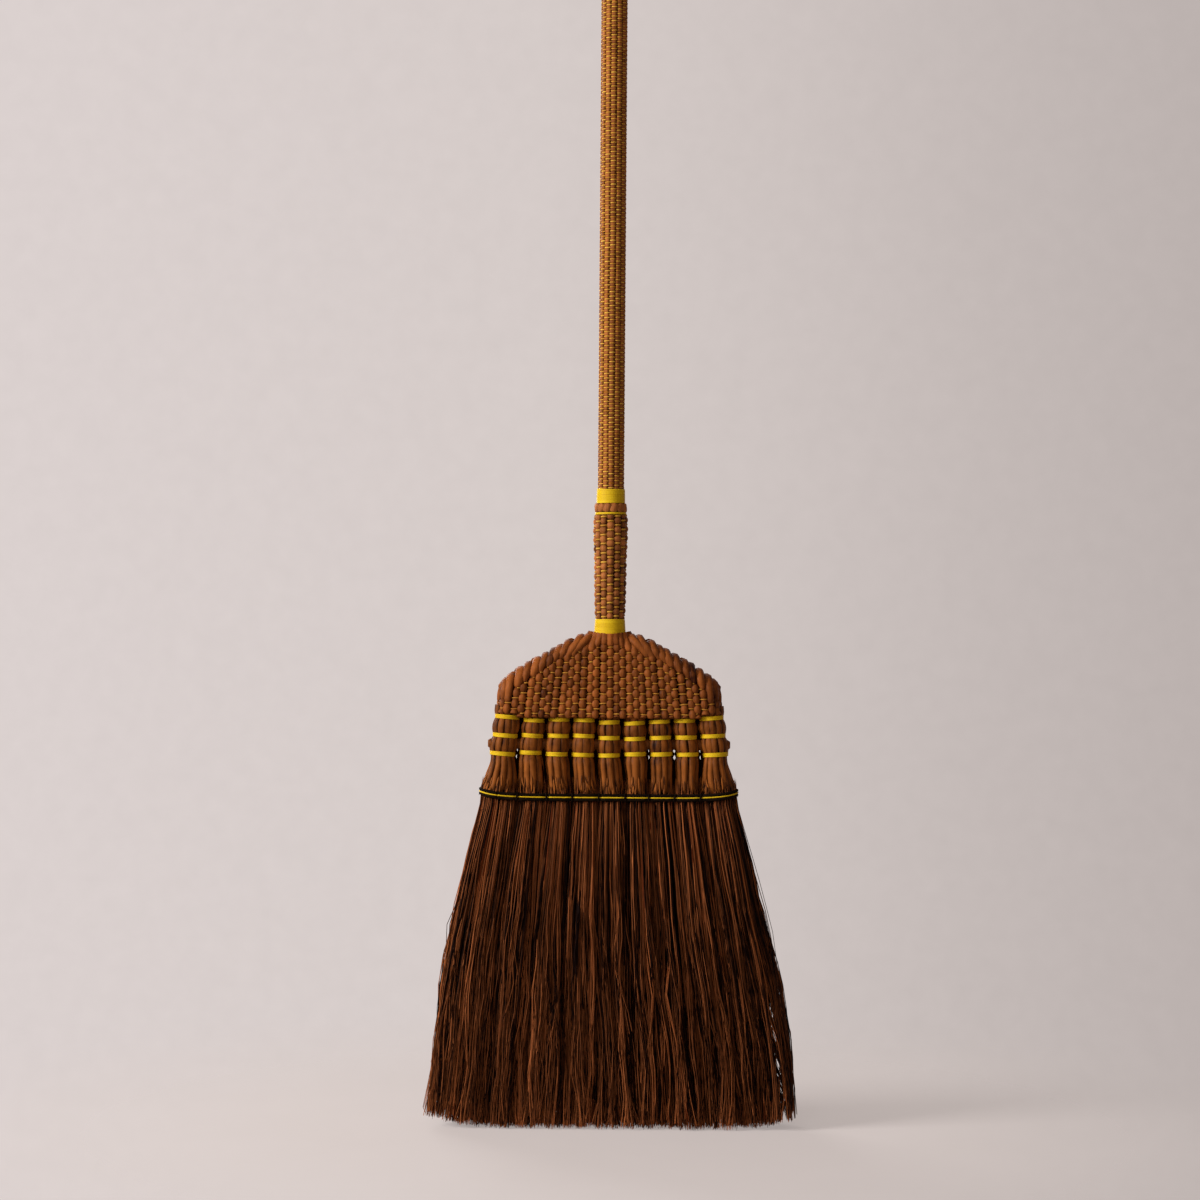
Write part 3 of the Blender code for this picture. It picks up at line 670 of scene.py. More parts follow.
@dataclass
class RoundWeave:
    """Upright stalks round a pole, held by one thread that winds over and under them."""

    name: str
    columns: int
    pitch: float
    low: float
    high: float
    profile: tuple[tuple[float, float], ...]
    stalk_width: float
    stalk_depth: float
    dip: float
    weft_height: float
    weft_depth: float
    weft_sink: float = 0.0
    weft_low: float | None = None
    weft_high: float | None = None
    steps: int = 4
    sides: int = 6
    seed: int = 1
    # The shares of a stalk's width and depth that are left where the thread presses it.
    waist: float = 0.8
    pressed: float = 0.65
    swell_spread: float = 0.05
    sway: Drift = Drift(0.03, 0.012)
    # The tone of a bead, how much a whole stalk differs, and the shade at the edges and under the thread.
    bead_tone: float = 0.6
    tone_spread: float = 0.18
    column_spread: float = 0.06
    least_tone: float = 0.35
    shade: float = 0.45
    crossing_shade: float = 0.5
    # How flat the thread's arcs are, how unevenly it lies, in crossings and shares of the pitch, its tone.
    weft_arc: float = 0.35
    weft_sway: Drift = Drift(2.5, 0.035)
    weft_tone: float = 0.5
    weft_shading: Drift = Drift(2.0, 0.2)

    def outer(self, heights: np.ndarray) -> np.ndarray:
        """Return the outer radius of the beads at each height."""
        places, radii = zip(*self.profile)
        return np.interp(heights, places, radii)

    def stalks(self, finish: bpy.types.Material) -> bpy.types.Object:
        """Build the upright stalks with a bead between each pair of crossings.

        Args:
            finish: The stalks' material.

        Returns:
            The stalks as one piece.
        """
        rng = np.random.default_rng(self.seed)
        work = StrandWork(self.sides, self.shade)
        heights = np.arange(self.low, self.high, self.pitch / self.steps)
        heights[-1] = self.high
        outer = self.outer(heights)
        for column in range(self.columns):
            phase = (heights - self.low) / self.pitch - column / self.columns - column
            lift = 0.5 - 0.5 * np.cos(math.pi * phase)
            full = np.sqrt(lift)
            bead = np.floor(phase / 2).astype(int)
            bead -= bead.min()
            count = bead.max() + 2
            swell = rng.normal(1, self.swell_spread, count)[bead]
            tone = rng.normal(self.bead_tone, self.tone_spread, count)[bead]
            tone = tone + rng.normal(0, self.column_spread)
            tone = np.maximum(tone, self.least_tone) - self.crossing_shade * (1 - lift) ** 2
            depth = self.stalk_depth * (self.pressed + (1 - self.pressed) * full)
            width = self.stalk_width * (self.waist + (1 - self.waist) * full) * swell
            radius = outer - depth - self.dip * (1 - full)
            angle = math.tau * column / self.columns + self.sway.along(rng, heights)
            out = facing(angle)
            centres = stood(out, radius, heights)
            work.lay(Strand(centres, aside(angle), out, width * outer / outer.max(), depth, tone))
        return work.done(f"{self.name}_stalks", finish)

    def weft(self, finish: bpy.types.Material) -> bpy.types.Object:
        """Build the winding thread.

        Args:
            finish: The thread's material.

        Returns:
            The thread as one piece.
        """
        rng = np.random.default_rng(self.seed + 100)
        low = self.weft_low or self.low
        high = self.weft_high or self.high
        first = math.ceil((low - self.low) / self.pitch * self.columns)
        last = math.floor((high - self.low) / self.pitch * self.columns)
        crossing = np.arange(first, last, 1 / self.steps)
        heights = self.low + self.pitch * crossing / self.columns
        sway = Drift(self.weft_sway.step, self.pitch * self.weft_sway.size)
        heights = heights + sway.along(rng, crossing)
        over = np.cos(math.pi * crossing)
        swing = self.dip + self.weft_depth
        middle = self.outer(heights) - self.weft_depth - self.weft_sink - swing
        radius = middle + swing * np.where(over > 0, np.abs(over) ** self.weft_arc, -np.abs(over))
        out = facing(math.tau * crossing / self.columns)
        tone = self.weft_tone + self.weft_shading.along(rng, crossing)
        work = StrandWork(5)
        work.lay(thread(stood(out, radius, heights), out, self.weft_height, self.weft_depth, tone))
        return work.done(f"{self.name}_weft", finish)


@dataclass
class TwineCollar:
    """A band of thread wound tightly round the broom."""

    node: str
    turns: float
    radius_low: float
    radius_high: float
    thread_radius: float
    seed: int
    # How far the last turns hang loose, and how far the whole band sits below its node.
    loose: float = 0.0
    loose_turns: float = 1.3
    drop: float = 0.0
    steps: int = 28
    start: float = 2.2
    # How deep the thread's two ends go under, and along how much of a turn.
    tuck: float = 0.0015
    tuck_turns: float = 0.15
    # How unevenly the turns lie, by turns and by shares of the thread's radius, and the thread's tone.
    sway: Drift = Drift(0.35, 0.12)
    tone: float = 0.5
    shading: Drift = Drift(0.5, 0.22)
    # The thread's half height and half thickness as shares of its radius, pressed flat by its neighbours.
    flat: tuple[float, float] = (1.2, 0.35)

    def build(self, finish: bpy.types.Material) -> bpy.types.Object:
        """Wind the thread in the room of its CAD node.

        Args:
            finish: The thread's material.

        Returns:
            The wound band.
        """
        rng = np.random.default_rng(self.seed)
        low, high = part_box(self.node)
        bottom = low.z + self.thread_radius - self.drop
        top = high.z - self.thread_radius - self.drop
        turn = np.linspace(0, self.turns, int(self.turns * self.steps) + 1)
        share = turn / self.turns
        rise = (top - bottom) * share
        if self.loose:
            rise = rise + self.loose * np.sin(math.tau * turn) * (share > 1 - self.loose_turns / self.turns)
        rise = rise + Drift(self.sway.step, self.thread_radius * self.sway.size).along(rng, turn)
        radius = self.radius_low + (self.radius_high - self.radius_low) * share - self.thread_radius
        for off in (turn, self.turns - turn):
            radius = radius - self.tuck * (1 - smooth_step(off / self.tuck_turns))
        out = facing(math.tau * turn + self.start)
        points = stood(out, radius, np.clip(bottom + rise, bottom, top))
        tone = self.tone + self.shading.along(rng, turn)
        half_height, half_depth = (self.thread_radius * share for share in self.flat)
        work = StrandWork(6)
        work.lay(thread(points, out, half_height, half_depth, tone))
        return work.done(f"{self.node}_twine", finish)


@dataclass
class StalkFold:
    """The neck stalks' ends, folded over each other above the neck ring."""

    ends: int = 13
    lean: float = 0.30
    slope: float = -0.35
    half_width: float = 0.0042
    half_depth: float = 0.0028
    # How far the ends stay inside the CAD node, out and up, and how far they start below it.
    inset: float = 0.0009
    sunk: float = 0.0011
    headroom: float = 0.0010
    start: float = 0.0002
    uneven: float = 0.03
    tone: tuple[float, float] = (0.72, 0.14)
    seed: int = 31

    def build(self, finish: bpy.types.Material) -> bpy.types.Object:
        """Lay the leaning ends side by side.

        Args:
            finish: The stalks' material.

        Returns:
            The folded ends as one piece.
        """
        rng = np.random.default_rng(self.seed)
        low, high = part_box("stalk_fold")
        work = StrandWork(8, 0.35)
        run = np.linspace(0, 1, 9)
        plump = np.sqrt(np.clip(1 - (2 * run - 1) ** 4, 0.3, 1))
        heights = low.z - self.start + (high.z - low.z - self.headroom) * run
        radius = high.x - self.inset - (self.half_depth - self.sunk) * plump
        for end in range(self.ends):
            angle = math.tau * (end + 0.5) / self.ends + self.lean * (run - 0.5) + rng.normal(0, self.uneven)
            out, side = facing(angle), unit(aside(angle, self.slope))
            tone = np.full(len(run), rng.normal(*self.tone))
            points = stood(out, radius, heights)
            work.lay(Strand(points, side, out, self.half_width * plump, self.half_depth * plump, tone))
        return work.done("stalk_fold_ends", finish)


def runs_of(flags: Sequence[bool]) -> list[list[int]]:
    """Find the unbroken runs of true flags.

    Args:
        flags: One flag for each stalk.

    Returns:
        The runs, each as its rising numbers.
    """
    runs: list[list[int]] = []
    for number, flag in enumerate(flags):
        if flag and runs and runs[-1][-1] == number - 1:
            runs[-1].append(number)
        elif flag:
            runs.append([number])
    return runs


@dataclass
class WovenShoulder:
    """The fan of stalks between the neck and the bundles, woven flat front and back."""

    columns: int = 70
    row_pitch: float = 0.0044
    first_row: float = 0.0030
    half_straight: float = 0.0840
    bead_half: float = 0.0035
    dip_half: float = 0.0022
    half_depth: float = 0.0027
    dip: float = 0.0017
    # The share of a stalk's depth that is left where the weft presses it, and the plump end's share.
    pressed: float = 0.62
    plump_end: float = 1.15
    step: float = 0.0011
    top_points: int = 15
    # How much the stalks lean to the middle, by rise, and how far out the lean is full.
    lean: float = 0.12
    lean_run: float = 0.06
    # The plain tops: their half width, its growth to the end, and how far each bends forward over the ridge.
    petal_half: float = 0.0037
    petal_growth: float = 0.22
    roll_over: float = 1.2
    # Stalks this near the middle go straight up under the collar, which has this radius.
    collar_reach: float = 0.0148
    collar_radius: float = 0.0122
    # The tone of a bead and of a whole stalk, the shade to the right, under the weft and on the plain tops.
    bead_tone: tuple[float, float] = (0.51, 0.13)
    stalk_spread: float = 0.11
    right_shade: float = 0.09
    crossing_shade: float = 0.28
    shade_run: float = 0.08
    top_shade: float = 0.05
    top_light: float = 0.12
    # How much the beads and the plain tops differ in width, and the stalks in spacing, by shares.
    uneven: float = 0.05
    petal_spread: float = 0.06
    spacing_spread: float = 0.09
    most_off: float = 0.16
    seed: int = 51
    # Over the two outer bundles the stalks start higher: how much, from where and along what run.
    outer_rise: float = 0.0030
    outer_start: float = 0.078
    outer_run: float = 0.004
    # The core: how far it stays under the ridge and inside its sides, and its half depth low and high.
    core_clear: float = 0.0015
    core_inset: float = 0.0025
    core_share: float = 0.75
    core_top: float = 0.003
    # The weft thread, how far it swings, how flat its arcs are, how it tucks in at its ends, and its tone.
    weft_height: float = 0.00060
    weft_depth: float = 0.00055
    weft_swing: float = 0.0015
    weft_arc: float = 0.6
    weft_sink: float = 0.0002
    weft_overhang: float = 0.35
    weft_tuck: float = 0.004
    weft_sway: Drift = Drift(1.5, 0.00035)
    weft_shading: Drift = Drift(2.0, 0.18)
    # At a distance from the middle: where the weave ends, and where the plain top meets the ridge.
    stands: tuple[float, ...] = (
        0.0, 0.0055, 0.0106, 0.0155, 0.0205, 0.0256, 0.0300, 0.0340, 0.0380, 0.0430,
        0.0500, 0.0575, 0.0635, 0.0703, 0.0776, 0.0820, 0.0880, 0.0943, 0.0980,
    )
    limits: tuple[float, ...] = (
        0.4145, 0.4142, 0.4125, 0.4105, 0.4092, 0.4078, 0.4064, 0.4052, 0.4040, 0.4018,
        0.3978, 0.3932, 0.3888, 0.3838, 0.3795, 0.3728, 0.3680, 0.3650, 0.3625,
    )
    goals: tuple[float, ...] = (
        0.0, 0.0036, 0.0068, 0.0098, 0.0120, 0.0138, 0.0158, 0.0205, 0.0275, 0.0355,
        0.0437, 0.0515, 0.0588, 0.0662, 0.0738, 0.0790, 0.0855, 0.0918, 0.0950,
    )
    # The ridge's height at each distance from the middle.
    ridge_places: tuple[float, ...] = (
        0.0, 0.015, 0.0235, 0.0344, 0.0417, 0.0503, 0.0576,
        0.0658, 0.0731, 0.0791, 0.086, 0.0903, 0.0933, 0.0968,
    )
    ridge_heights: tuple[float, ...] = (
        0.4228, 0.4228, 0.4222, 0.4175, 0.4128, 0.4085, 0.4042,
        0.3999, 0.3956, 0.3913, 0.387, 0.3827, 0.3784, 0.3741,
    )

    def __post_init__(self) -> None:
        """Read the shoulder's room from its CAD node."""
        low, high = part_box("shoulder_weave")
        self.base = low.z + 0.0003
        self.bend = high.y - self.half_depth

    def stand(self, column: float) -> tuple[float, float, float, float]:
        """Return where a stalk stands at the shoulder's base and which way it faces.

        Args:
            column: The stalk's number, counted round from the middle of the back.

        Returns:
            Its x and y, and the x and y of its outward direction.
        """
        bend, edge = self.bend, self.half_straight
        straight = 2 * edge
        round_run = math.pi * bend
        run = 2 * (straight + round_run) * column / self.columns
        if run < edge:
            return run, bend, 0.0, 1.0
        run -= edge
        for side in (1, -1):
            if run < round_run:
                sine, cosine = side * math.sin(run / bend), side * math.cos(run / bend)
                return side * edge + bend * sine, bend * cosine, sine, cosine
            run -= round_run
            if side == 1 and run < straight:
                return edge - run, -bend, 0.0, -1.0
            if side == 1:
                run -= straight
        return -edge + run, bend, 0.0, 1.0

    def spacing(self) -> np.ndarray:
        """Return the stalks' uneven places round the shoulder, as column numbers with a share."""
        off = np.random.default_rng(self.seed + 7).normal(0, self.spacing_spread, self.columns)
        return np.arange(self.columns) + np.clip(off, -self.most_off, self.most_off)

    def leant(self, x: float | np.ndarray, rise: float | np.ndarray) -> float | np.ndarray:
        """Return how far from the middle a stalk is at a rise above the base."""
        return x - self.lean * np.sign(x) * smooth_step(np.abs(x) / self.lean_run) * rise

    def limit(self, x: float) -> float:
        """Find the height at which the weave of a stalk ends, in a few rounds.

        Args:
            x: How far from the middle it stands at the base.

        Returns:
            The height.
        """
        height = self.base + 0.02
        for _ in range(4):
            height = float(np.interp(abs(self.leant(x, height - self.base)), self.stands, self.limits))
        return height

    def foot(self, x: float) -> float:
        """Return the height at which a stalk starts, higher over the two outer bundles."""
        return self.base + self.outer_rise * float(smooth_step((abs(x) - self.outer_start) / self.outer_run))

    def rows(self) -> np.ndarray:
        """Return the heights of the weft rows."""
        return np.arange(self.base + self.first_row, max(self.limits), self.row_pitch)

    def stalks(self, finish: bpy.types.Material) -> bpy.types.Object:
        """Build the stalks: beads in the weave, then plain tops that roll over the ridge.

        Args:
            finish: The stalks' material.

        Returns:
            The stalks as one piece.
        """
        rng = np.random.default_rng(self.seed)
        work = StrandWork(8, 0.45)
        for column, place in enumerate(self.spacing()):
            work.lay(self.stalk(rng, column, place))
        return work.done("shoulder_stalks", finish)

    def stalk(self, rng: np.random.Generator, column: int, place: float) -> Strand:
        """Shape one stalk.

        Args:
            rng: The source of the random draws.
            column: Its number.
            place: Its uneven place round the shoulder.

        Returns:
            The stalk as a strand.
        """
        x, y, out_x, out_y = self.stand(place)
        woven = np.arange(self.foot(x), self.limit(x), self.step)
        woven_x = self.leant(x, woven - self.base)
        goal_x = math.copysign(1, x) * float(np.interp(abs(float(woven_x[-1])), self.stands, self.goals))
        near = abs(goal_x) < self.collar_reach
        goal_z = float(np.interp(abs(goal_x), self.ridge_places, self.ridge_heights))
        goal_z -= 0.0 if near else self.half_depth * 0.9

        phase = (woven - self.rows()[0]) / self.row_pitch - column
        lift = 0.5 - 0.5 * np.cos(math.pi * phase)
        full = np.sqrt(lift)
        bead = np.floor(phase / 2).astype(int)
        bead -= bead.min()
        count = bead.max() + 2
        tones = rng.normal(*self.bead_tone, count) + rng.normal(0, self.stalk_spread)
        tones -= self.right_shade * smooth_step(x / self.shade_run)
        swells = rng.normal(1, self.uneven, count)
        petal = rng.normal(1, self.petal_spread)

        top = np.linspace(0, 1, self.top_points + 1)[1:]
        sway = smooth_step(top * 0.9) * 0.4 + top * 0.6
        if near:
            end_y = math.copysign(math.sqrt(max(self.collar_radius**2 - goal_x**2, 0)), y)
            roll = 1 - smooth_step(top)
        else:
            end_y = 0.0
            roll = np.sqrt(np.clip(1 - np.clip((top - 0.3) / 0.7, 0, 1) ** 2.4, 0, 1))
        dip = self.dip * (1 - full)
        xs = np.concatenate([woven_x - out_x * dip, woven_x[-1] + (goal_x - woven_x[-1]) * sway])
        ys = np.concatenate([y - out_y * dip, end_y + (y - end_y) * roll])
        zs = np.concatenate([woven, woven[-1] + (goal_z - woven[-1]) * top])
        centres = np.stack([xs, ys, zs], axis=-1)
        along = unit(np.gradient(centres, axis=0))
        outward = repeated((out_x, out_y, 0.0), len(zs))
        outward[len(woven):, 2] += smooth_step(top * 1.1) * (0.0 if near else self.roll_over)
        across = unit(np.cross(along, outward))

        plump = smooth_step(top * 2.2)
        bead_width = self.dip_half + (self.bead_half - self.dip_half) * full * swells[bead]
        end_half = self.bead_half if near else self.petal_half
        petal_width = (bead_width[-1] * (1 - plump) + end_half * plump) * petal
        petal_width = petal_width * (1 + self.petal_growth * smooth_step((top - 0.55) / 0.4))
        swell = self.pressed + (1 - self.pressed) * full
        top_swell = swell[-1] * (1 - plump) + self.plump_end * plump
        width = np.concatenate([bead_width, petal_width])
        depth = self.half_depth * np.concatenate([swell, top_swell])
        bead_tones = tones[bead] - self.crossing_shade * (1 - lift) ** 2
        tone = np.concatenate([bead_tones, tones[-1] - self.top_shade + self.top_light * top])
        return Strand(centres, across, unit(np.cross(across, along)), width, depth, tone)

    def core(self, finish: bpy.types.Material) -> bpy.types.Object:
        """Build the stalks between the front and the back of the weave, as one body in a dark finish that is
        painted shade.

        Args:
            finish: The core's material.

        Returns:
            The core.
        """
        ridge = self.ridge_heights[0]
        run = np.linspace(self.base + 0.001, ridge - self.core_clear, 40)
        wide = np.interp(run + self.core_clear, self.ridge_heights[::-1], self.ridge_places[::-1])
        wide = wide - self.core_inset
        deep = np.interp(run, (self.base, ridge), (self.bend * self.core_share, self.core_top))
        work = StrandWork(24)
        work.lay(upright(run, np.zeros_like(run), wide, deep, 0.3))
        return work.done("shoulder_core", finish)

    def weft(self, finish: bpy.types.Material) -> bpy.types.Object:
        """Build the weft rows, each a run across the front or the back.

        Args:
            finish: The weft's material.

        Returns:
            The rows as one piece.
        """
        rng = np.random.default_rng(self.seed + 1)
        work = StrandWork(5)
        places = np.array([self.stand(place) for place in self.spacing()])
        for number, height in enumerate(self.rows()):
            woven = [self.foot(x) + 0.0005 < height < self.limit(x) + 0.0004 for x in places[:, 0]]
            for run in runs_of(woven):
                if len(run) > 1:
                    work.lay(self.weft_run(rng, places[run], run[0] + number, height))
        return work.done("shoulder_weft", finish)

    def weft_run(self, rng: np.random.Generator, spots: np.ndarray, parity: int, height: float) -> Strand:
        """Shape one run of weft over and under a row of stalks.

        Args:
            rng: The source of the random draws.
            spots: Where each stalk of the run stands and faces.
            parity: Even where the thread starts over a stalk, odd where it starts under one.
            height: The row's height.

        Returns:
            The run as a strand.
        """
        last = len(spots) - 1
        index = np.arange(last + 1)
        fine = np.arange(-self.weft_overhang, last + self.weft_overhang + 0.01, 0.25)
        held = np.clip(fine, 0, last)
        xs = np.interp(held, index, self.leant(spots[:, 0], height - self.base))
        ys, out_x, out_y = (np.interp(held, index, spots[:, axis]) for axis in (1, 2, 3))
        out = unit(np.stack([out_x, out_y], axis=-1))
        over = np.cos(math.pi * (fine + parity))
        arcs = np.where(over > 0, np.abs(over) ** self.weft_arc, -np.abs(over))
        offset = -self.weft_sink + arcs * self.weft_swing
        beyond = np.clip((np.abs(fine - last / 2) - last / 2) / self.weft_overhang, 0, 1)
        offset = offset - beyond * self.weft_tuck
        zs = np.full(len(fine), height) + self.weft_sway.along(rng, fine)
        points = np.stack([xs + out[:, 0] * offset, ys + out[:, 1] * offset, zs], axis=-1)
        outward = np.concatenate([out, np.zeros((len(fine), 1))], axis=-1)
        tone = 0.5 + self.weft_shading.along(rng, fine)
        return thread(points, outward, self.weft_height, self.weft_depth, tone)


@dataclass
class BroomShape:
    """The head's outline and where each bundle runs in it."""

    heights: tuple[float, ...] = (0.0, 0.0215, 0.056, 0.090, 0.1247, 0.159, 0.1935, 0.228, 0.262, 0.2795)
    widths: tuple[float, ...] = (
        0.3136, 0.3108, 0.3028, 0.2930, 0.2822, 0.2709, 0.2564, 0.2427, 0.2290, 0.2219,
    )
    # Where the bundles meet at the stitches, as shares of half the head's width.
    seams: tuple[float, ...] = (-1.0, -0.707, -0.480, -0.282, -0.077, 0.127, 0.309, 0.509, 0.709, 1.0)
    # How much a bundle swells between its bindings, and how much slimmer the two outer ones are below them.
    barrel: float = 0.0014
    outer_slim: float = 0.0013
    # How far the stalks lie inside a binding's box, across and in depth.
    ring_inset: tuple[float, float] = (0.0001, 0.0006)
    # Below the bindings: how much a bundle is spread at its foot, where it flares and with which width,
    # the swelling under its lowest binding, how much its foot pulls both places outwards, and half depths.
    foot_spread: float = 1.02
    stitch_top: float = 0.2853
    flare_height: float = 0.300
    flare_share: float = 0.96
    neck_drop: float = 0.0052
    neck_swell: float = 0.0014
    foot_pull: tuple[float, float] = (0.62, 0.2)
    foot_depths: tuple[float, ...] = (0.0146, 0.0144, 0.0138, 0.0128)
    # How far each bundle's bindings sit above their usual heights: the low, the middle and the top ones.
    shifts: tuple[tuple[float, ...], ...] = (
        (0.0003, 0.0013, 0.0001, -0.0004, -0.0007, 0.0006, 0.0006, 0.0006, 0.0006),
        (0.0001, 0.0001, 0.0001, 0.0001, -0.0015, -0.0022, -0.0010, -0.0006, 0.0007),
        (0.0028, 0.0001, 0.0008, 0.0006, -0.0013, -0.0019, -0.0004, 0.0006, 0.0028),
    )
    runs: dict[int, tuple[np.ndarray, ...]] = field(default_factory=dict)

    def width(self, heights: float | np.ndarray) -> np.ndarray:
        """Return the bristles' whole width at each height."""
        return np.interp(heights, self.heights, self.widths)

    def share(self, bundle: int) -> tuple[float, float]:
        """Return the bundle's middle and half width at the stitches, as shares of half the head's width."""
        left, right = self.seams[bundle - 1 : bundle + 1]
        return (left + right) / 2, (right - left) / 2

    def inner_seams(self) -> np.ndarray:
        """Return where two bundles meet at the stitches, across the head."""
        return np.array(self.seams[1:-1]) * float(self.width(FOOT)) / 2

    def bundle_run(self, bundle: int) -> tuple[np.ndarray, ...]:
        """Return the bundle's centre line and section, worked out once.

        Args:
            bundle: The bundle's number.

        Returns:
            Heights, centres, half widths and half depths, from the foot up.
        """
        if bundle not in self.runs:
            self.runs[bundle] = self.read_run(bundle)
        return self.runs[bundle]

    def read_run(self, bundle: int) -> tuple[np.ndarray, ...]:
        """Work out the bundle's centre line and section from its CAD nodes.

        Args:
            bundle: The bundle's number.

        Returns:
            Heights, centres, half widths and half depths, from the foot up.
        """
        foot_low, foot_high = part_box(f"bundle_{bundle}")
        rings = [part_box(f"binding_{level}_{bundle}") for level in LEVELS]
        ring_z = [(low.z + high.z) / 2 + move[bundle - 1] for (low, high), move in zip(rings, self.shifts)]
        ring_x = [(low.x + high.x) / 2 for low, high in rings]
        ring_w = [(high.x - low.x) / 2 - self.ring_inset[0] for low, high in rings]
        ring_d = [(high.y - low.y) / 2 - self.ring_inset[1] for low, high in rings]
        foot_x, reach = (share * float(self.width(FOOT)) / 2 for share in self.share(bundle))
        slim = self.outer_slim if bundle in (1, BUNDLES) else 0.0
        inward = -math.copysign(slim, foot_x)
        # Below the bindings: the height, the centre, the half width and the half depth of each section.
        flare_x, neck_x = (foot_x * share + ring_x[0] * (1 - share) for share in self.foot_pull)
        neck_half = ring_w[0] + self.neck_swell - slim * 0.8
        depths = self.foot_depths
        sections = [
            (foot_low.z, foot_x * self.foot_spread, reach * self.foot_spread, depths[0]),
            (self.stitch_top, foot_x, reach * 1.005, depths[1]),
            (self.flare_height, flare_x + inward, reach * self.flare_share - slim, depths[2]),
            (ring_z[0] - self.neck_drop, neck_x + inward * 0.8, neck_half, depths[3]),
            (ring_z[0], ring_x[0], ring_w[0], ring_d[0]),
        ]
        for lower in (0, 1):
            for share in (0.2, 0.8, 1.0):
                bulge = self.barrel if share < 1 else 0.0
                sizes = (ring_z, ring_x, ring_w, ring_d)
                between = [size[lower] * (1 - share) + size[lower + 1] * share for size in sizes]
                sections.append((between[0], between[1], between[2] + bulge, between[3] + bulge))
        for height, share in ((ring_z[2] + 0.0035, 0.8), (foot_high.z - 0.0003, 0.6)):
            bulge = self.barrel * share
            sections.append((height, ring_x[2], ring_w[2] + bulge, ring_d[2] + bulge))
        return tuple(np.array(column) for column in zip(*sections))


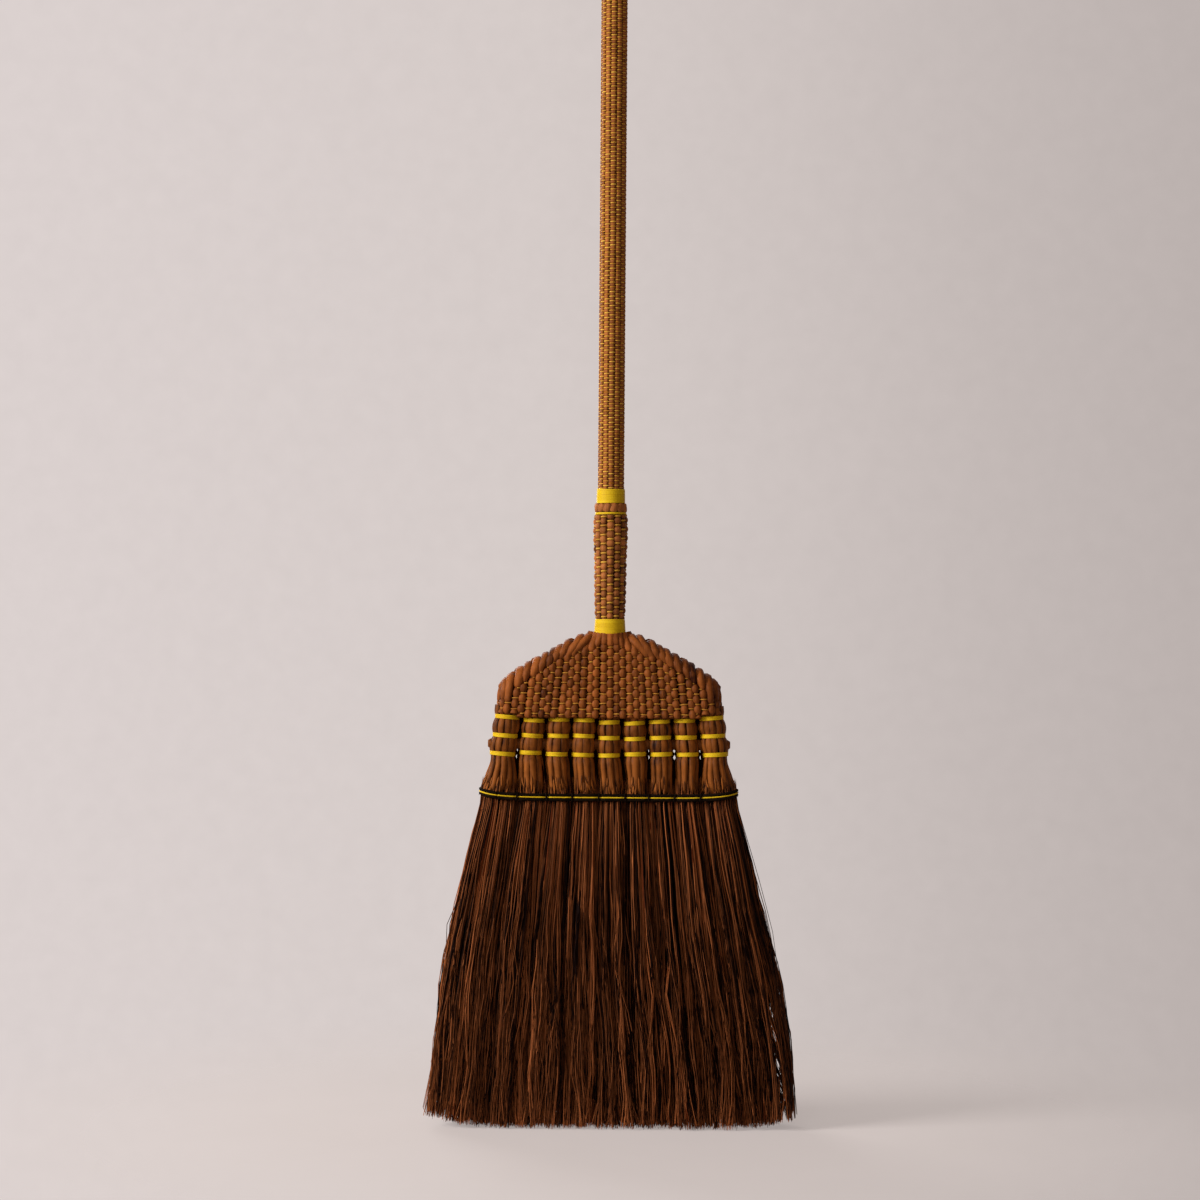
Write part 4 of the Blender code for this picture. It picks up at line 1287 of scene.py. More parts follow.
@dataclass
class BoundBundle:
    """One bundle of stalks, drawn in by three twine bindings and frayed below."""

    number: int
    shape: BroomShape
    stalk_count: int = 10
    # Half a stalk's thickness above the lowest binding and below it, and where it changes.
    flat_half: float = 0.0014
    lobe_half: float = 0.0026
    ring_low: float = 0.3160
    lobe_run: float = 0.008
    foot: float = 0.2840
    point: float = 0.0020
    # How far the stalks overlap, how much less they do below, and how their feet narrow.
    overlap: float = 1.12
    lobe_slim: float = 0.14
    foot_share: float = 0.4
    foot_run: float = 0.007
    sway: Drift = Drift(0.018, 0.018)
    swell: Drift = Drift(0.02, 0.04)
    # A stalk's tone, the painted shade on all and more on those at the right, the painted light on the lower
    # part, and the painted shade at the foot.
    tone: tuple[float, float] = (0.46, 0.11)
    shade: float = 0.02
    right_shade: float = 0.07
    shade_run: float = 0.6
    lobe_light: float = 0.19
    foot_shade: float = 0.3
    foot_shade_top: float = 0.2955
    foot_shade_run: float = 0.009
    shading: Drift = Drift(0.012, 0.07)
    # The loose fibres over the lower ends: where they start, their length, thickness and tones.
    frays: int = 60
    fray_points: int = 8
    fray_high: tuple[float, float] = (0.2895, 0.3020)
    fray_length: tuple[float, float] = (0.007, 0.014)
    fray_half: tuple[float, float] = (0.00035, 0.0009)
    fray_tones: tuple[float, ...] = (0.05, 0.45, 0.85)
    # The core: its overlap with the next one, its inset at the head's edges, and its waists for the bindings.
    core_foot: float = 0.2775
    core_overlap: float = 0.0002
    core_inset: float = 0.0022
    core_depth: float = 0.45
    pinched: tuple[int, ...] = (1, 7, 8)
    waists: tuple[float, ...] = (0.3165, 0.3225)
    pinch: float = 0.0013
    # The bindings: their turns, their whole height, the thread, and how each bundle's are tilted.
    turns: int = 4
    winding: float = 0.0034
    thread_half: float = 0.00056
    clear: float = 0.0002
    tuck: float = 0.0008
    wind_sway: Drift = Drift(0.3, 0.00005)
    wind_shading: Drift = Drift(0.5, 0.15)
    tilts: tuple[float, ...] = (-0.09, -0.06, -0.02, -0.05, 0.0, 0.03, 0.02, 0.0, 0.05)

    def stalks(self, finish: bpy.types.Material) -> bpy.types.Object:
        """Build the bundle's outer stalks with their frayed feet.

        Args:
            finish: The stalks' material.

        Returns:
            The stalks as one piece.
        """
        rng = np.random.default_rng(200 + self.number)
        work = StrandWork(8, 0.6)
        top = float(self.shape.bundle_run(self.number)[0][-1])
        heights = np.append(np.arange(self.foot, top, self.point), top)
        count = self.count()
        for turn in np.arange(count) + rng.uniform(-0.12, 0.12, count) + rng.random():
            work.lay(self.stalk(rng, math.tau * turn / count, heights))
        for _ in range(self.frays):
            work.lay(self.fray(rng))
        return work.done(f"bundle_stalks_{self.number}", finish)

    def count(self) -> int:
        """Return how many stalks go round the bundle, more in a wide one."""
        return round(self.stalk_count * (1 + BUNDLES * self.shape.share(self.number)[1]) / 2)

    def around(
        self, heights: np.ndarray, angle: np.ndarray, sink: np.ndarray
    ) -> tuple[np.ndarray, np.ndarray, np.ndarray]:
        """Return places on the bundle's outside.

        Args:
            heights: The height of each place.
            angle: The direction of each place, from the front to the right.
            sink: How far inside the bundle's outline each place lies.

        Returns:
            The places, their outward directions, and the bundle's girth there.
        """
        knots, centres, half_widths, half_depths = self.shape.bundle_run(self.number)
        wide = curve_between(heights, knots, half_widths) - sink
        deep = curve_between(heights, knots, half_depths) - sink
        middle = curve_between(heights, knots, centres)
        points = np.stack([middle + np.sin(angle) * wide, -np.cos(angle) * deep, heights], axis=-1)
        out = np.stack([np.sin(angle) / wide, -np.cos(angle) / deep, np.zeros_like(heights)], axis=-1)
        return points, unit(out), math.pi * (wide + deep)

    def stalk(self, rng: np.random.Generator, angle: float, heights: np.ndarray) -> Strand:
        """Shape one stalk from the bundle's foot to its top.

        Args:
            rng: The source of the random draws.
            angle: The stalk's direction.
            heights: The heights along it.

        Returns:
            The stalk as a strand.
        """
        lobe = smooth_step((self.ring_low - heights) / self.lobe_run)
        depth = self.flat_half * (1 - lobe) + self.lobe_half * lobe
        turn = angle + self.sway.along(rng, heights)
        points, out, girth = self.around(heights, turn, depth + 0.0001)
        half = girth / self.count() / 2 * (self.overlap - self.lobe_slim * lobe)
        half = half * (1 + self.swell.along(rng, heights))
        taper = smooth_step((heights - heights[0]) / self.foot_run)
        taper = self.foot_share + (1 - self.foot_share) * taper
        middle, _ = self.shape.share(self.number)
        # Painted shade on the bundles to the right and at the foot, painted light on the lobes below the
        # lowest binding.
        shaded = self.shade + self.right_shade * smooth_step(middle / self.shade_run)
        tone = rng.normal(*self.tone) - shaded + self.lobe_light * lobe + self.shading.along(rng, heights)
        tone = tone - self.foot_shade * smooth_step((self.foot_shade_top - heights) / self.foot_shade_run)
        return thread(points, out, half * taper, depth * taper, tone)

    def fray(self, rng: np.random.Generator) -> Strand:
        """Shape one loose pointed fibre over the lower end of a stalk.

        Args:
            rng: The source of the random draws.

        Returns:
            The fibre as a strand.
        """
        high = rng.uniform(*self.fray_high)
        low = max(high - rng.uniform(*self.fray_length), self.foot - 0.001)
        run = np.linspace(0, 1, self.fray_points)
        heights = high + (low - high) * run
        turn = rng.uniform(0, math.tau) + rng.normal(0, 0.10) * run**2
        lift = 0.0004 + rng.uniform(0, 0.0008) * run
        points, out, _ = self.around(heights[::-1], turn[::-1], 0.0006 - lift[::-1])
        tone = np.full(len(run), rng.choice(self.fray_tones) + rng.normal(0, 0.08))
        slim = rng.uniform(*self.fray_half) * np.sqrt(np.clip(1 - (2 * run[::-1] - 1) ** 2, 0.02, 1))
        return thread(points, out, slim, slim * 0.7, tone)

    def edge(self, bundle: int, side: int, run: np.ndarray) -> np.ndarray:
        """Return how far across the head a bundle's side lies at each height.

        Args:
            bundle: The bundle's number.
            side: -1 for its left side, 1 for its right one.
            run: The heights.

        Returns:
            The side's place at each height.
        """
        knots, centres, half_widths, _ = self.shape.bundle_run(bundle)
        return curve_between(run, knots, centres) + side * curve_between(run, knots, half_widths)

    def core(self, finish: bpy.types.Material) -> bpy.types.Object:
        """Build the stalks inside and behind, as one body that meets the next bundle's, in a dark finish that
        is painted shade.

        Args:
            finish: The core's material.

        Returns:
            The core.
        """
        knots, _, _, half_depths = self.shape.bundle_run(self.number)
        run = np.arange(self.core_foot, knots[-1] - 0.0005, 0.0010)
        edges = []
        for side in (-1, 1):
            own = self.edge(self.number, side, run)
            if 1 <= self.number + side <= BUNDLES:
                between = (self.edge(self.number + side, -side, run) + own) / 2
                edges.append(between + side * self.core_overlap)
            else:
                edges.append(own - side * self.core_inset)
        middle, wide = (edges[0] + edges[1]) / 2, (edges[1] - edges[0]) / 2
        if self.number in self.pinched:
            for waist in self.waists:
                wide = wide - self.pinch * np.exp(-(((run - waist) / 0.0016) ** 2))
        deep = curve_between(run, knots, half_depths) * self.core_depth
        work = StrandWork(16)
        work.lay(upright(run, middle, wide, deep, 0.4))
        return work.done(f"bundle_core_{self.number}", finish)

    def bindings(self, finish: bpy.types.Material) -> bpy.types.Object:
        """Wind the three bindings.

        Args:
            finish: The twine's material.

        Returns:
            The bindings as one piece.
        """
        rng = np.random.default_rng(300 + self.number)
        work = StrandWork(6)
        turn = np.linspace(0, self.turns, self.turns * 30 + 1)
        out = facing(math.tau * turn + math.pi)
        grow = self.tuck * (smooth_step(turn / 0.2) * smooth_step((self.turns - turn) / 0.2) - 1)
        for level, shifts in zip(LEVELS, self.shape.shifts):
            low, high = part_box(f"binding_{level}_{self.number}")
            centre_x, centre_z = (low.x + high.x) / 2, (low.z + high.z) / 2 + shifts[self.number - 1]
            tilt = self.tilts[self.number - 1] + rng.uniform(-0.02, 0.02)
            xs = out[:, 0] * ((high.x - low.x) / 2 + self.clear + grow)
            ys = out[:, 1] * ((high.y - low.y) / 2 + self.clear + grow)
            rise = (turn / self.turns - 0.5) * self.winding + self.wind_sway.along(rng, turn)
            points = np.stack([centre_x + xs, ys, centre_z + rise + tilt * xs], axis=-1)
            tone = 0.5 + self.wind_shading.along(rng, turn)
            work.lay(thread(points, out, self.thread_half, self.thread_half * 0.9, tone))
        return work.done(f"bundle_bindings_{self.number}", finish)


@dataclass
class CrossRod:
    """The rod that runs through the bundles and shows at both ends."""

    rounding: float = 0.004
    # Points close to each end, where it rounds off, and the share of the thickness that an end keeps.
    end_points: tuple[float, ...] = (0, 0.0008, 0.0022)
    end_share: float = 0.62
    points: int = 60
    uneven: Drift = Drift(0.02, 1)
    hollow: float = 0.03
    tone: float = 0.15
    seed: int = 77

    def build(self, finish: bpy.types.Material) -> bpy.types.Object:
        """Build the rod with its rounded, slightly uneven ends.

        Args:
            finish: The rod's material.

        Returns:
            The rod.
        """
        rng = np.random.default_rng(self.seed)
        low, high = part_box("cross_rod")
        length = high.x - low.x
        ends = np.array(self.end_points)
        inner = np.linspace(self.rounding, length - self.rounding, self.points)
        run = np.concatenate([ends, inner, length - ends[::-1]])
        from_end = np.minimum(run, run[::-1])
        rounded = self.end_share + (1 - self.end_share) * np.sqrt(smooth_step(from_end / self.rounding))
        size = (high.z - low.z) / 2 * rounded
        size = size * (1 - self.hollow * np.abs(self.uneven.along(rng, run)).clip(0, 1))
        points = np.stack([low.x + run, np.zeros_like(run), np.full_like(run, (low.z + high.z) / 2)], axis=-1)
        work = StrandWork(14)
        work.lay(thread(points, repeated(FRONT, len(run)), size, size, np.full(len(run), self.tone)))
        return work.done("cross_rod_wood", finish)


@dataclass
class StitchedBand:
    """The cords that run round the head below the bundles, tied between each pair."""

    shape: BroomShape
    black_half: float = 0.0013
    yellow_half: float = 0.00058
    # How far above and below the yellow cord the black ones lie.
    offsets: tuple[float, ...] = (0.0019, -0.0019)
    # How far the cords sink between two bundles, and how wide that dent is.
    pucker: float = 0.0016
    dent: float = 0.0028
    # How much the cords sit above their CAD node's foot in the middle and above its top at the sides.
    middle_rise: float = 0.0017
    side_rise: float = 0.0004
    rise_power: int = 7
    front_points: int = 181
    turn_points: int = 25
    # The twist of the cords: its pitch and how much it swells them.
    lay_pitch: float = 0.0024
    lay_swell: float = 0.08
    shading: Drift = Drift(0.01, 0.15)
    # The ties: half their height, half their thickness, their lean and how they bow out.
    tie_rise: float = 0.0031
    tie_half: float = 0.0008
    tie_lean: float = 0.35
    tie_sink: float = 0.0018
    tie_bow: float = 0.0010
    seed: int = 91

    def __post_init__(self) -> None:
        """Read the band's room from its CAD node."""
        low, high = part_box("stitch_yellow")
        self.middle = low.z + self.middle_rise
        self.side = high.z + self.side_rise
        self.half_x, self.half_y = high.x, high.y

    def height(self, xs: float | np.ndarray, half_x: float) -> float | np.ndarray:
        """Return the yellow cord's height, which rises towards the head's sides."""
        return self.middle + (self.side - self.middle) * abs(xs / half_x) ** self.rise_power

    def cord(self, rng: np.random.Generator, half: float, offset: float) -> Strand:
        """Run one twisted cord round the head.

        Args:
            rng: The source of the random draws.
            half: Half the cord's thickness.
            offset: How far it lies above the yellow cord.

        Returns:
            The cord as a strand.
        """
        half_x, half_y = self.half_x - half, self.half_y - half
        straight = half_x - half_y
        turns = np.linspace(0, math.pi, self.turn_points)[1:-1]
        front = np.linspace(-straight, straight, self.front_points)
        side_x, side_y = straight + half_y * np.sin(turns), -half_y * np.cos(turns)
        face_y = np.full(self.front_points, half_y)
        xs = np.concatenate([front, side_x, front[::-1], -side_x])
        ys = np.concatenate([-face_y, side_y, face_y, -side_y])
        nearest = np.stack([np.clip(xs, -straight, straight), np.zeros_like(xs)], axis=-1)
        out = unit(np.stack([xs, ys], axis=-1) - nearest)
        off = np.abs(xs[:, None] - self.shape.inner_seams()).min(axis=1)
        sink = self.pucker * np.exp(-((off / self.dent) ** 2))
        zs = self.height(xs, half_x) + offset
        ring = [*range(len(xs)), 0]
        points = np.stack([xs - out[:, 0] * sink, ys - out[:, 1] * sink, zs], axis=-1)[ring]
        outward = np.concatenate([out, np.zeros((len(xs), 1))], axis=-1)[ring]
        length = np.concatenate([[0], np.cumsum(np.linalg.norm(np.diff(points, axis=0), axis=1))])
        tone = 0.5 + self.shading.along(rng, length)
        swell = half * (1 + self.lay_swell * np.sin(length / self.lay_pitch * math.tau))
        return thread(points, outward, swell, half, tone)

    def tie(self, rng: np.random.Generator, face: int, x: float) -> Strand:
        """Bend one upright tie over the cords.

        Args:
            rng: The source of the random draws.
            face: -1 for the front, 1 for the back.
            x: Where it stands across the head.

        Returns:
            The tie as a strand.
        """
        turn = np.linspace(0, math.pi, 9)
        lean = rng.uniform(-self.tie_lean, self.tie_lean)
        rise = self.tie_rise * np.cos(turn)
        reach = self.half_y - self.tie_sink + self.tie_bow * np.sin(turn)
        height = self.height(x, self.half_x) + 0.0002
        points = np.stack([x + lean * rise, face * reach, height + rise], axis=-1)
        out = repeated((0.0, float(face), 0.0), len(turn))
        return thread(points, out, self.tie_half, self.tie_half, np.full(len(turn), 0.3))

    def build(self, black: bpy.types.Material, yellow: bpy.types.Material) -> list[bpy.types.Object]:
        """Lay the cords, and the ties between each pair of bundles on both faces.

        Args:
            black: The black twine.
            yellow: The yellow twine.

        Returns:
            The black cords with their ties, and the yellow cord.
        """
        rng = np.random.default_rng(self.seed)
        gold, dark = StrandWork(6), StrandWork(6)
        gold.lay(self.cord(rng, self.yellow_half, 0.0))
        for offset in self.offsets:
            dark.lay(self.cord(rng, self.black_half, offset))
        for face in (-1, 1):
            for x in self.shape.inner_seams().tolist():
                dark.lay(self.tie(rng, face, x))
        yellow_cord = gold.done("stitch_yellow_cord", yellow)
        return [dark.done("stitch_black_cords", black), yellow_cord]


@dataclass(frozen=True)
class Tuft:
    """What a few neighbouring bristles share."""

    place: tuple[float, float]
    rag: float
    tone: float
    drift: np.ndarray
    loose: float


@dataclass
class BristleBunch:
    """The bristles of one bundle, fanned out below the stitches."""

    number: int
    shape: BroomShape
    # Counts for a bundle of middling width: fine strands, and thick ones that fill the middle at the darkest
    # tone, as painted shade.
    strands: int = 1440
    fillers: int = 90
    points: int = 15
    tuft_size: int = 3
    # The locks' rings: their size as a share of the bundle, and how many locks each has.
    rings: tuple[tuple[float, int], ...] = ((1.0, 22), (0.68, 14), (0.36, 8))
    strand_half: float = 0.00036
    filler_half: float = 0.0014
    lock_half: float = 0.00115
    thickness: tuple[float, float] = (0.75, 1.35)
    taper: tuple[float, float] = (1.27, 0.67)
    top: tuple[float, float] = (0.287, 0.300)
    # The tips: the height of the lowest, the rise to the head's edges, and how ragged they are.
    floor: float = 0.0003
    edge_rise: float = 0.0105
    tip_rag: tuple[float, float] = (1.1, 0.0024)
    long_rag: Rare = Rare(0.14, 0.01, 0.09)
    own_rag: float = 0.0015
    filler_rag: float = 0.02
    # How far drifts carry a lock, a tuft and a strand from its line by the tip, and how much it kinks.
    lock_drift: float = 0.0022
    tuft_drift: float = 0.0015
    own_drift: float = 0.0010
    kink: float = 0.00055
    scatter: tuple[float, float] = (0.0003, 0.0008)
    tuft_spread: float = 2.8
    # How many tufts are loose, and how much further a loose one drifts.
    loose_share: float = 0.12
    looseness: float = 1.9
    # How the section opens from the stitches down and squares off, and its inset from the head's outline.
    closed: float = 0.96
    opening: float = 0.1
    opening_run: float = 0.3
    squareness: float = 0.22
    inset: float = 0.002
    # How far out the fillers spread, and the furthest right that they stand beside the parting.
    filler_spread: float = 0.75
    filler_limit: float = 0.3
    # Half the bunch's depth at the stitches, its growth below, and the most that it may reach.
    half_depth: float = 0.0130
    depth_growth: float = 0.0076
    most_depth: float = 0.0265
    # Past the head's edge a strand keeps only these shares of what it strays, the second by its looseness.
    edge: float = 0.157
    beyond_edge: tuple[float, float] = (0.25, 0.1)
    # The tips' swing to the right, and the stray hairs of the outermost locks.
    right_swing: float = 0.0060
    stray: Rare = Rare(0.014, 0.002, 0.0065)
    stray_rim: float = 0.8
    # The parting near the right edge: its half width, where it runs and how far its push reaches.
    parting: float = 0.0018
    parting_line: tuple[float, float, float] = (0.1545, -0.136, 0.058)
    parting_top: float = 0.135
    parting_reach: float = 0.0036
    # The tones: of a lock, with painted light at the head's edges and at its left, of a tuft and of a strand,
    # with painted shade towards a lock's rim.
    lock_tone: tuple[float, float] = (0.215, 0.06)
    edge_light: float = 0.12
    left_light: float = 0.12
    tuft_tone: float = 0.12
    bright_tuft: Rare = Rare(0.10, 0.3, 0.8)
    own_tone: tuple[float, float] = (0.03, 0.27)
    rim_shade: float = 0.16
    bright: Rare = Rare(0.11, 0.2, 0.6)
    lightest: float = 1.3
    # The factor on a strand's tone, painted light and shade along it: its light at the root, its fall by the
    # middle and its rise at the very tip, where light shines through.
    root_light: float = 1.08
    fall: float = 0.43
    tip_light: float = 0.3

    def __post_init__(self) -> None:
        """Read the bundle's place and width, and lay out a strand's points.

        The places are shares of a strand's length, the last two close for a blunt tip.
        """
        self.middle, self.reach = self.shape.share(self.number)
        self.run = np.append(np.linspace(0, 0.997, self.points - 1), 1.0)
        self.outermost = self.number in (1, BUNDLES)

    def build(self, finish: bpy.types.Material) -> bpy.types.Object:
        """Build the bunch from fine curves.

        Args:
            finish: The bristles' material.

        Returns:
            The bunch as one mesh piece.
        """
        profile = linked("strand profile", self.profile())
        data = bpy.data.curves.new("bristles", "CURVE")
        data.dimensions = "3D"
        data.bevel_mode = "OBJECT"
        data.bevel_object = profile
        tones = self.grow(data)
        curve = linked("bristles", data)
        made = bpy.data.meshes.new_from_object(curve.evaluated_get(bpy.context.evaluated_depsgraph_get()))
        layer = made.attributes.new("tone", "FLOAT", "POINT")
        # Painted light and shade along each strand: lighter at the root and at the tip.
        along = self.root_light - self.fall * smooth_step(self.run * 2)
        along = along + self.tip_light * smooth_step((self.run - 0.9) * 10)
        shaded = np.array(tones, np.float32)[:, None] * along
        layer.data.foreach_set("value", np.repeat(shaded.ravel(), 3))
        for leftover in (curve, profile):
            held = leftover.data
            bpy.data.objects.remove(leftover)
            bpy.data.curves.remove(held)
        work = bmesh.new()
        work.from_mesh(made)
        close_up(work, made)
        made.materials.append(finish)
        return linked(f"bristles_{self.number}", made)

    def profile(self) -> bpy.types.Curve:
        """Draw the three-sided section of a strand.

        Returns:
            The closed curve.
        """
        data = bpy.data.curves.new("strand profile", "CURVE")
        data.dimensions = "2D"
        spline = data.splines.new("POLY")
        spline.points.add(2)
        for corner, point in enumerate(spline.points):
            angle = math.tau * corner / 3
            point.co = (math.cos(angle), math.sin(angle), 0, 1)
        spline.use_cyclic_u = True
        return data

    def grow(self, data: bpy.types.Curve) -> list[float]:
        """Draw all strands as splines.

        Args:
            data: The curve that takes them.

        Returns:
            Each strand's tone.
        """
        rng = np.random.default_rng(500 + self.number)
        fullness = BUNDLES * self.reach
        strands, fillers = round(self.strands * fullness), round(self.fillers * fullness)
        places = self.lock_places(rng, fullness)
        rim = places[:, 0] * (self.number - MIDDLE_BUNDLE) / (BUNDLES - MIDDLE_BUNDLE)
        # Painted light: locks lighter at the head's left and at its two edges.
        lit_side = self.left_light * smooth_step(-0.5 - self.middle / 0.6)
        lock_tone = rng.normal(*self.lock_tone, len(places))
        lock_tone = lock_tone + self.edge_light * smooth_step((rim - 0.6) / 0.4) + lit_side
        drifts = rng.normal(0, 1, (len(places), 2, 6))
        tufts = [self.tuft(rng) for _ in range(strands // self.tuft_size + 1)]
        tones: list[float] = []
        for strand in range(strands + fillers):
            filler = strand >= strands
            tuft = tufts[strand // self.tuft_size % len(tufts)]
            lock = strand // self.tuft_size % len(places)
            path, radius = self.strand_path(rng, places[lock], drifts[lock], tuft, filler)
            spline = data.splines.new("POLY")
            spline.points.add(self.points - 1)
            spline.points.foreach_set("co", np.concatenate([path, np.ones((self.points, 1))], axis=1).ravel())
            spline.points.foreach_set("radius", radius)
            rim_share = math.hypot(*tuft.place) / self.lock_half
            level, spread = self.own_tone
            tone = lock_tone[lock] + tuft.tone + rng.normal(0, spread) + level - self.rim_shade * rim_share**2
            tone += self.bright.draw(rng)
            # The fillers take the darkest tone: painted shade in the middle of the bunch.
            tones.append(0.0 if filler else float(np.clip(tone, 0, self.lightest)))
        return tones

    def tuft(self, rng: np.random.Generator) -> Tuft:
        """Draw what the few strands of one tuft share.

        Args:
            rng: The source of the random draws.

        Returns:
            The tuft.
        """
        turn, reach = rng.uniform(0, math.tau), math.sqrt(rng.random()) * self.lock_half
        return Tuft(
            place=(reach * math.cos(turn), reach * math.sin(turn)),
            rag=rng.gamma(*self.tip_rag) + self.long_rag.draw(rng),
            tone=rng.normal(0, self.tuft_tone) + self.bright_tuft.draw(rng),
            drift=rng.normal(0, 1, (2, 9)),
            loose=self.looseness if rng.random() < self.loose_share else 1.0,
        )

    def lock_places(self, rng: np.random.Generator, fullness: float) -> np.ndarray:
        """Spread the locks over the bundle's section in three rings.

        Args:
            rng: The source of the random draws.
            fullness: How wide the bundle is, beside the middling one.

        Returns:
            Each lock's place across and in depth, from -1 to 1.
        """
        places = []
        for share, usual in self.rings:
            count = round(usual * fullness)
            turn = math.tau * (np.arange(count) + rng.random() + rng.uniform(-0.25, 0.25, count)) / count
            reach = share + rng.normal(0, 0.03, count)
            places.append(np.stack([reach * np.sin(turn), reach * np.cos(turn)], axis=-1))
        return np.clip(np.concatenate(places), -1, 1)

    def strand_path(
        self, rng: np.random.Generator, lock: np.ndarray, drift: np.ndarray, tuft: Tuft, filler: bool
    ) -> tuple[np.ndarray, np.ndarray]:
        """Run one strand from inside the bundle to its tip.

        Args:
            rng: The source of the random draws.
            lock: The lock's place across and in depth.
            drift: The lock's drift.
            tuft: What the strand shares with its nearest neighbours.
            filler: Whether this is a thick strand in the middle of the bunch.

        Returns:
            The strand's points and its half thickness at each.
        """
        run = self.run
        top = rng.uniform(*self.top)
        side, depth = (lock * (self.filler_spread if filler else 1.0)).tolist()
        if filler and self.number == BUNDLES:
            side = min(side, self.filler_limit)
        rag = max(tuft.rag + rng.normal(0, self.own_rag), 0.0) + (self.filler_rag if filler else 0.0)
        floor = self.floor + self.edge_rise * abs(self.middle + self.reach * side) ** 8
        heights = top + (floor + rag - top) * run
        open_share = smooth_step(run / self.opening_run)
        square = 1 + self.squareness * abs(side * depth) * open_share
        across = self.middle + self.reach * side * (self.closed + self.opening * open_share) * square
        xs = across * (self.shape.width(heights) / 2 - self.inset)
        ys = depth * square * (self.half_depth + self.depth_growth * smooth_step(run * 1.1))
        own = rng.normal(0, 1, (2, 6))
        kink = rng.normal(0, 1, (2, self.points))
        kink[:, -1] = kink[:, -2]
        scatter = rng.uniform(-1, 1, 2)
        for axis, values in ((0, xs), (1, ys)):
            values += ease_between(run, drift[axis]) * self.lock_drift * run
            values += tuft.place[axis] * (1 + self.tuft_spread * run)
            values += ease_between(run, tuft.drift[axis]) * self.tuft_drift * run * tuft.loose
            values += scatter[axis] * (self.scatter[0] + self.scatter[1] * run)
            values += ease_between(run, own[axis]) * self.own_drift * run
            values += kink[axis] * self.kink * smooth_step((run - 0.2) * 2)
        xs += self.right_swing * smooth_step((0.2 - heights) / 0.2)
        if self.outermost and abs(side) > self.stray_rim:
            xs += math.copysign(self.stray.draw(rng), self.middle) * np.sin(math.pi * run**0.8) ** 2
        if self.number == BUNDLES:
            xs = self.parted(xs, ys, heights)
        beyond = np.maximum(np.abs(xs) - self.edge, 0)
        kept, kept_loose = self.beyond_edge
        reach = np.minimum(np.abs(xs), self.edge) + (kept + kept_loose * tuft.loose) * beyond
        ys = np.clip(ys, -self.most_depth, self.most_depth)
        thick = (self.filler_half if filler else self.strand_half) * rng.uniform(*self.thickness)
        radius = thick * (self.taper[0] - self.taper[1] * run)
        radius[0] = radius[-1] = 1e-9
        return np.stack([np.copysign(reach, xs), ys, heights], axis=-1), radius

    def parted(self, xs: np.ndarray, ys: np.ndarray, heights: np.ndarray) -> np.ndarray:
        """Push a strand off the narrow parting near the right edge, which lets the wall show through.

        Args:
            xs: The strand's places across.
            ys: Its places in depth.
            heights: Its heights.

        Returns:
            The places across, clear of the parting.
        """
        foot, by_height, by_depth = self.parting_line
        off = xs - (foot + by_height * heights + by_depth * ys)
        push = self.parting * smooth_step((self.parting_top - heights) / 0.05)
        return xs + np.where(off > 0, 1, -1) * push * np.exp(-((off / self.parting_reach) ** 2))


@dataclass(frozen=True)
class Lamp:
    """A soft square lamp: where it hangs, what it points at, its side and its watts."""

    name: str
    place: Point
    target: Point
    size: float
    power: float

    def hang(self) -> None:
        """Put the lamp into the scene."""
        data = bpy.data.lights.new(self.name, "AREA")
        data.shape = "SQUARE"
        data.size = self.size
        data.energy = self.power
        lamp = linked(self.name, data)
        lamp.location = self.place
        lamp.rotation_euler = (Vector(self.target) - Vector(self.place)).to_track_quat("-Z", "Y").to_euler()


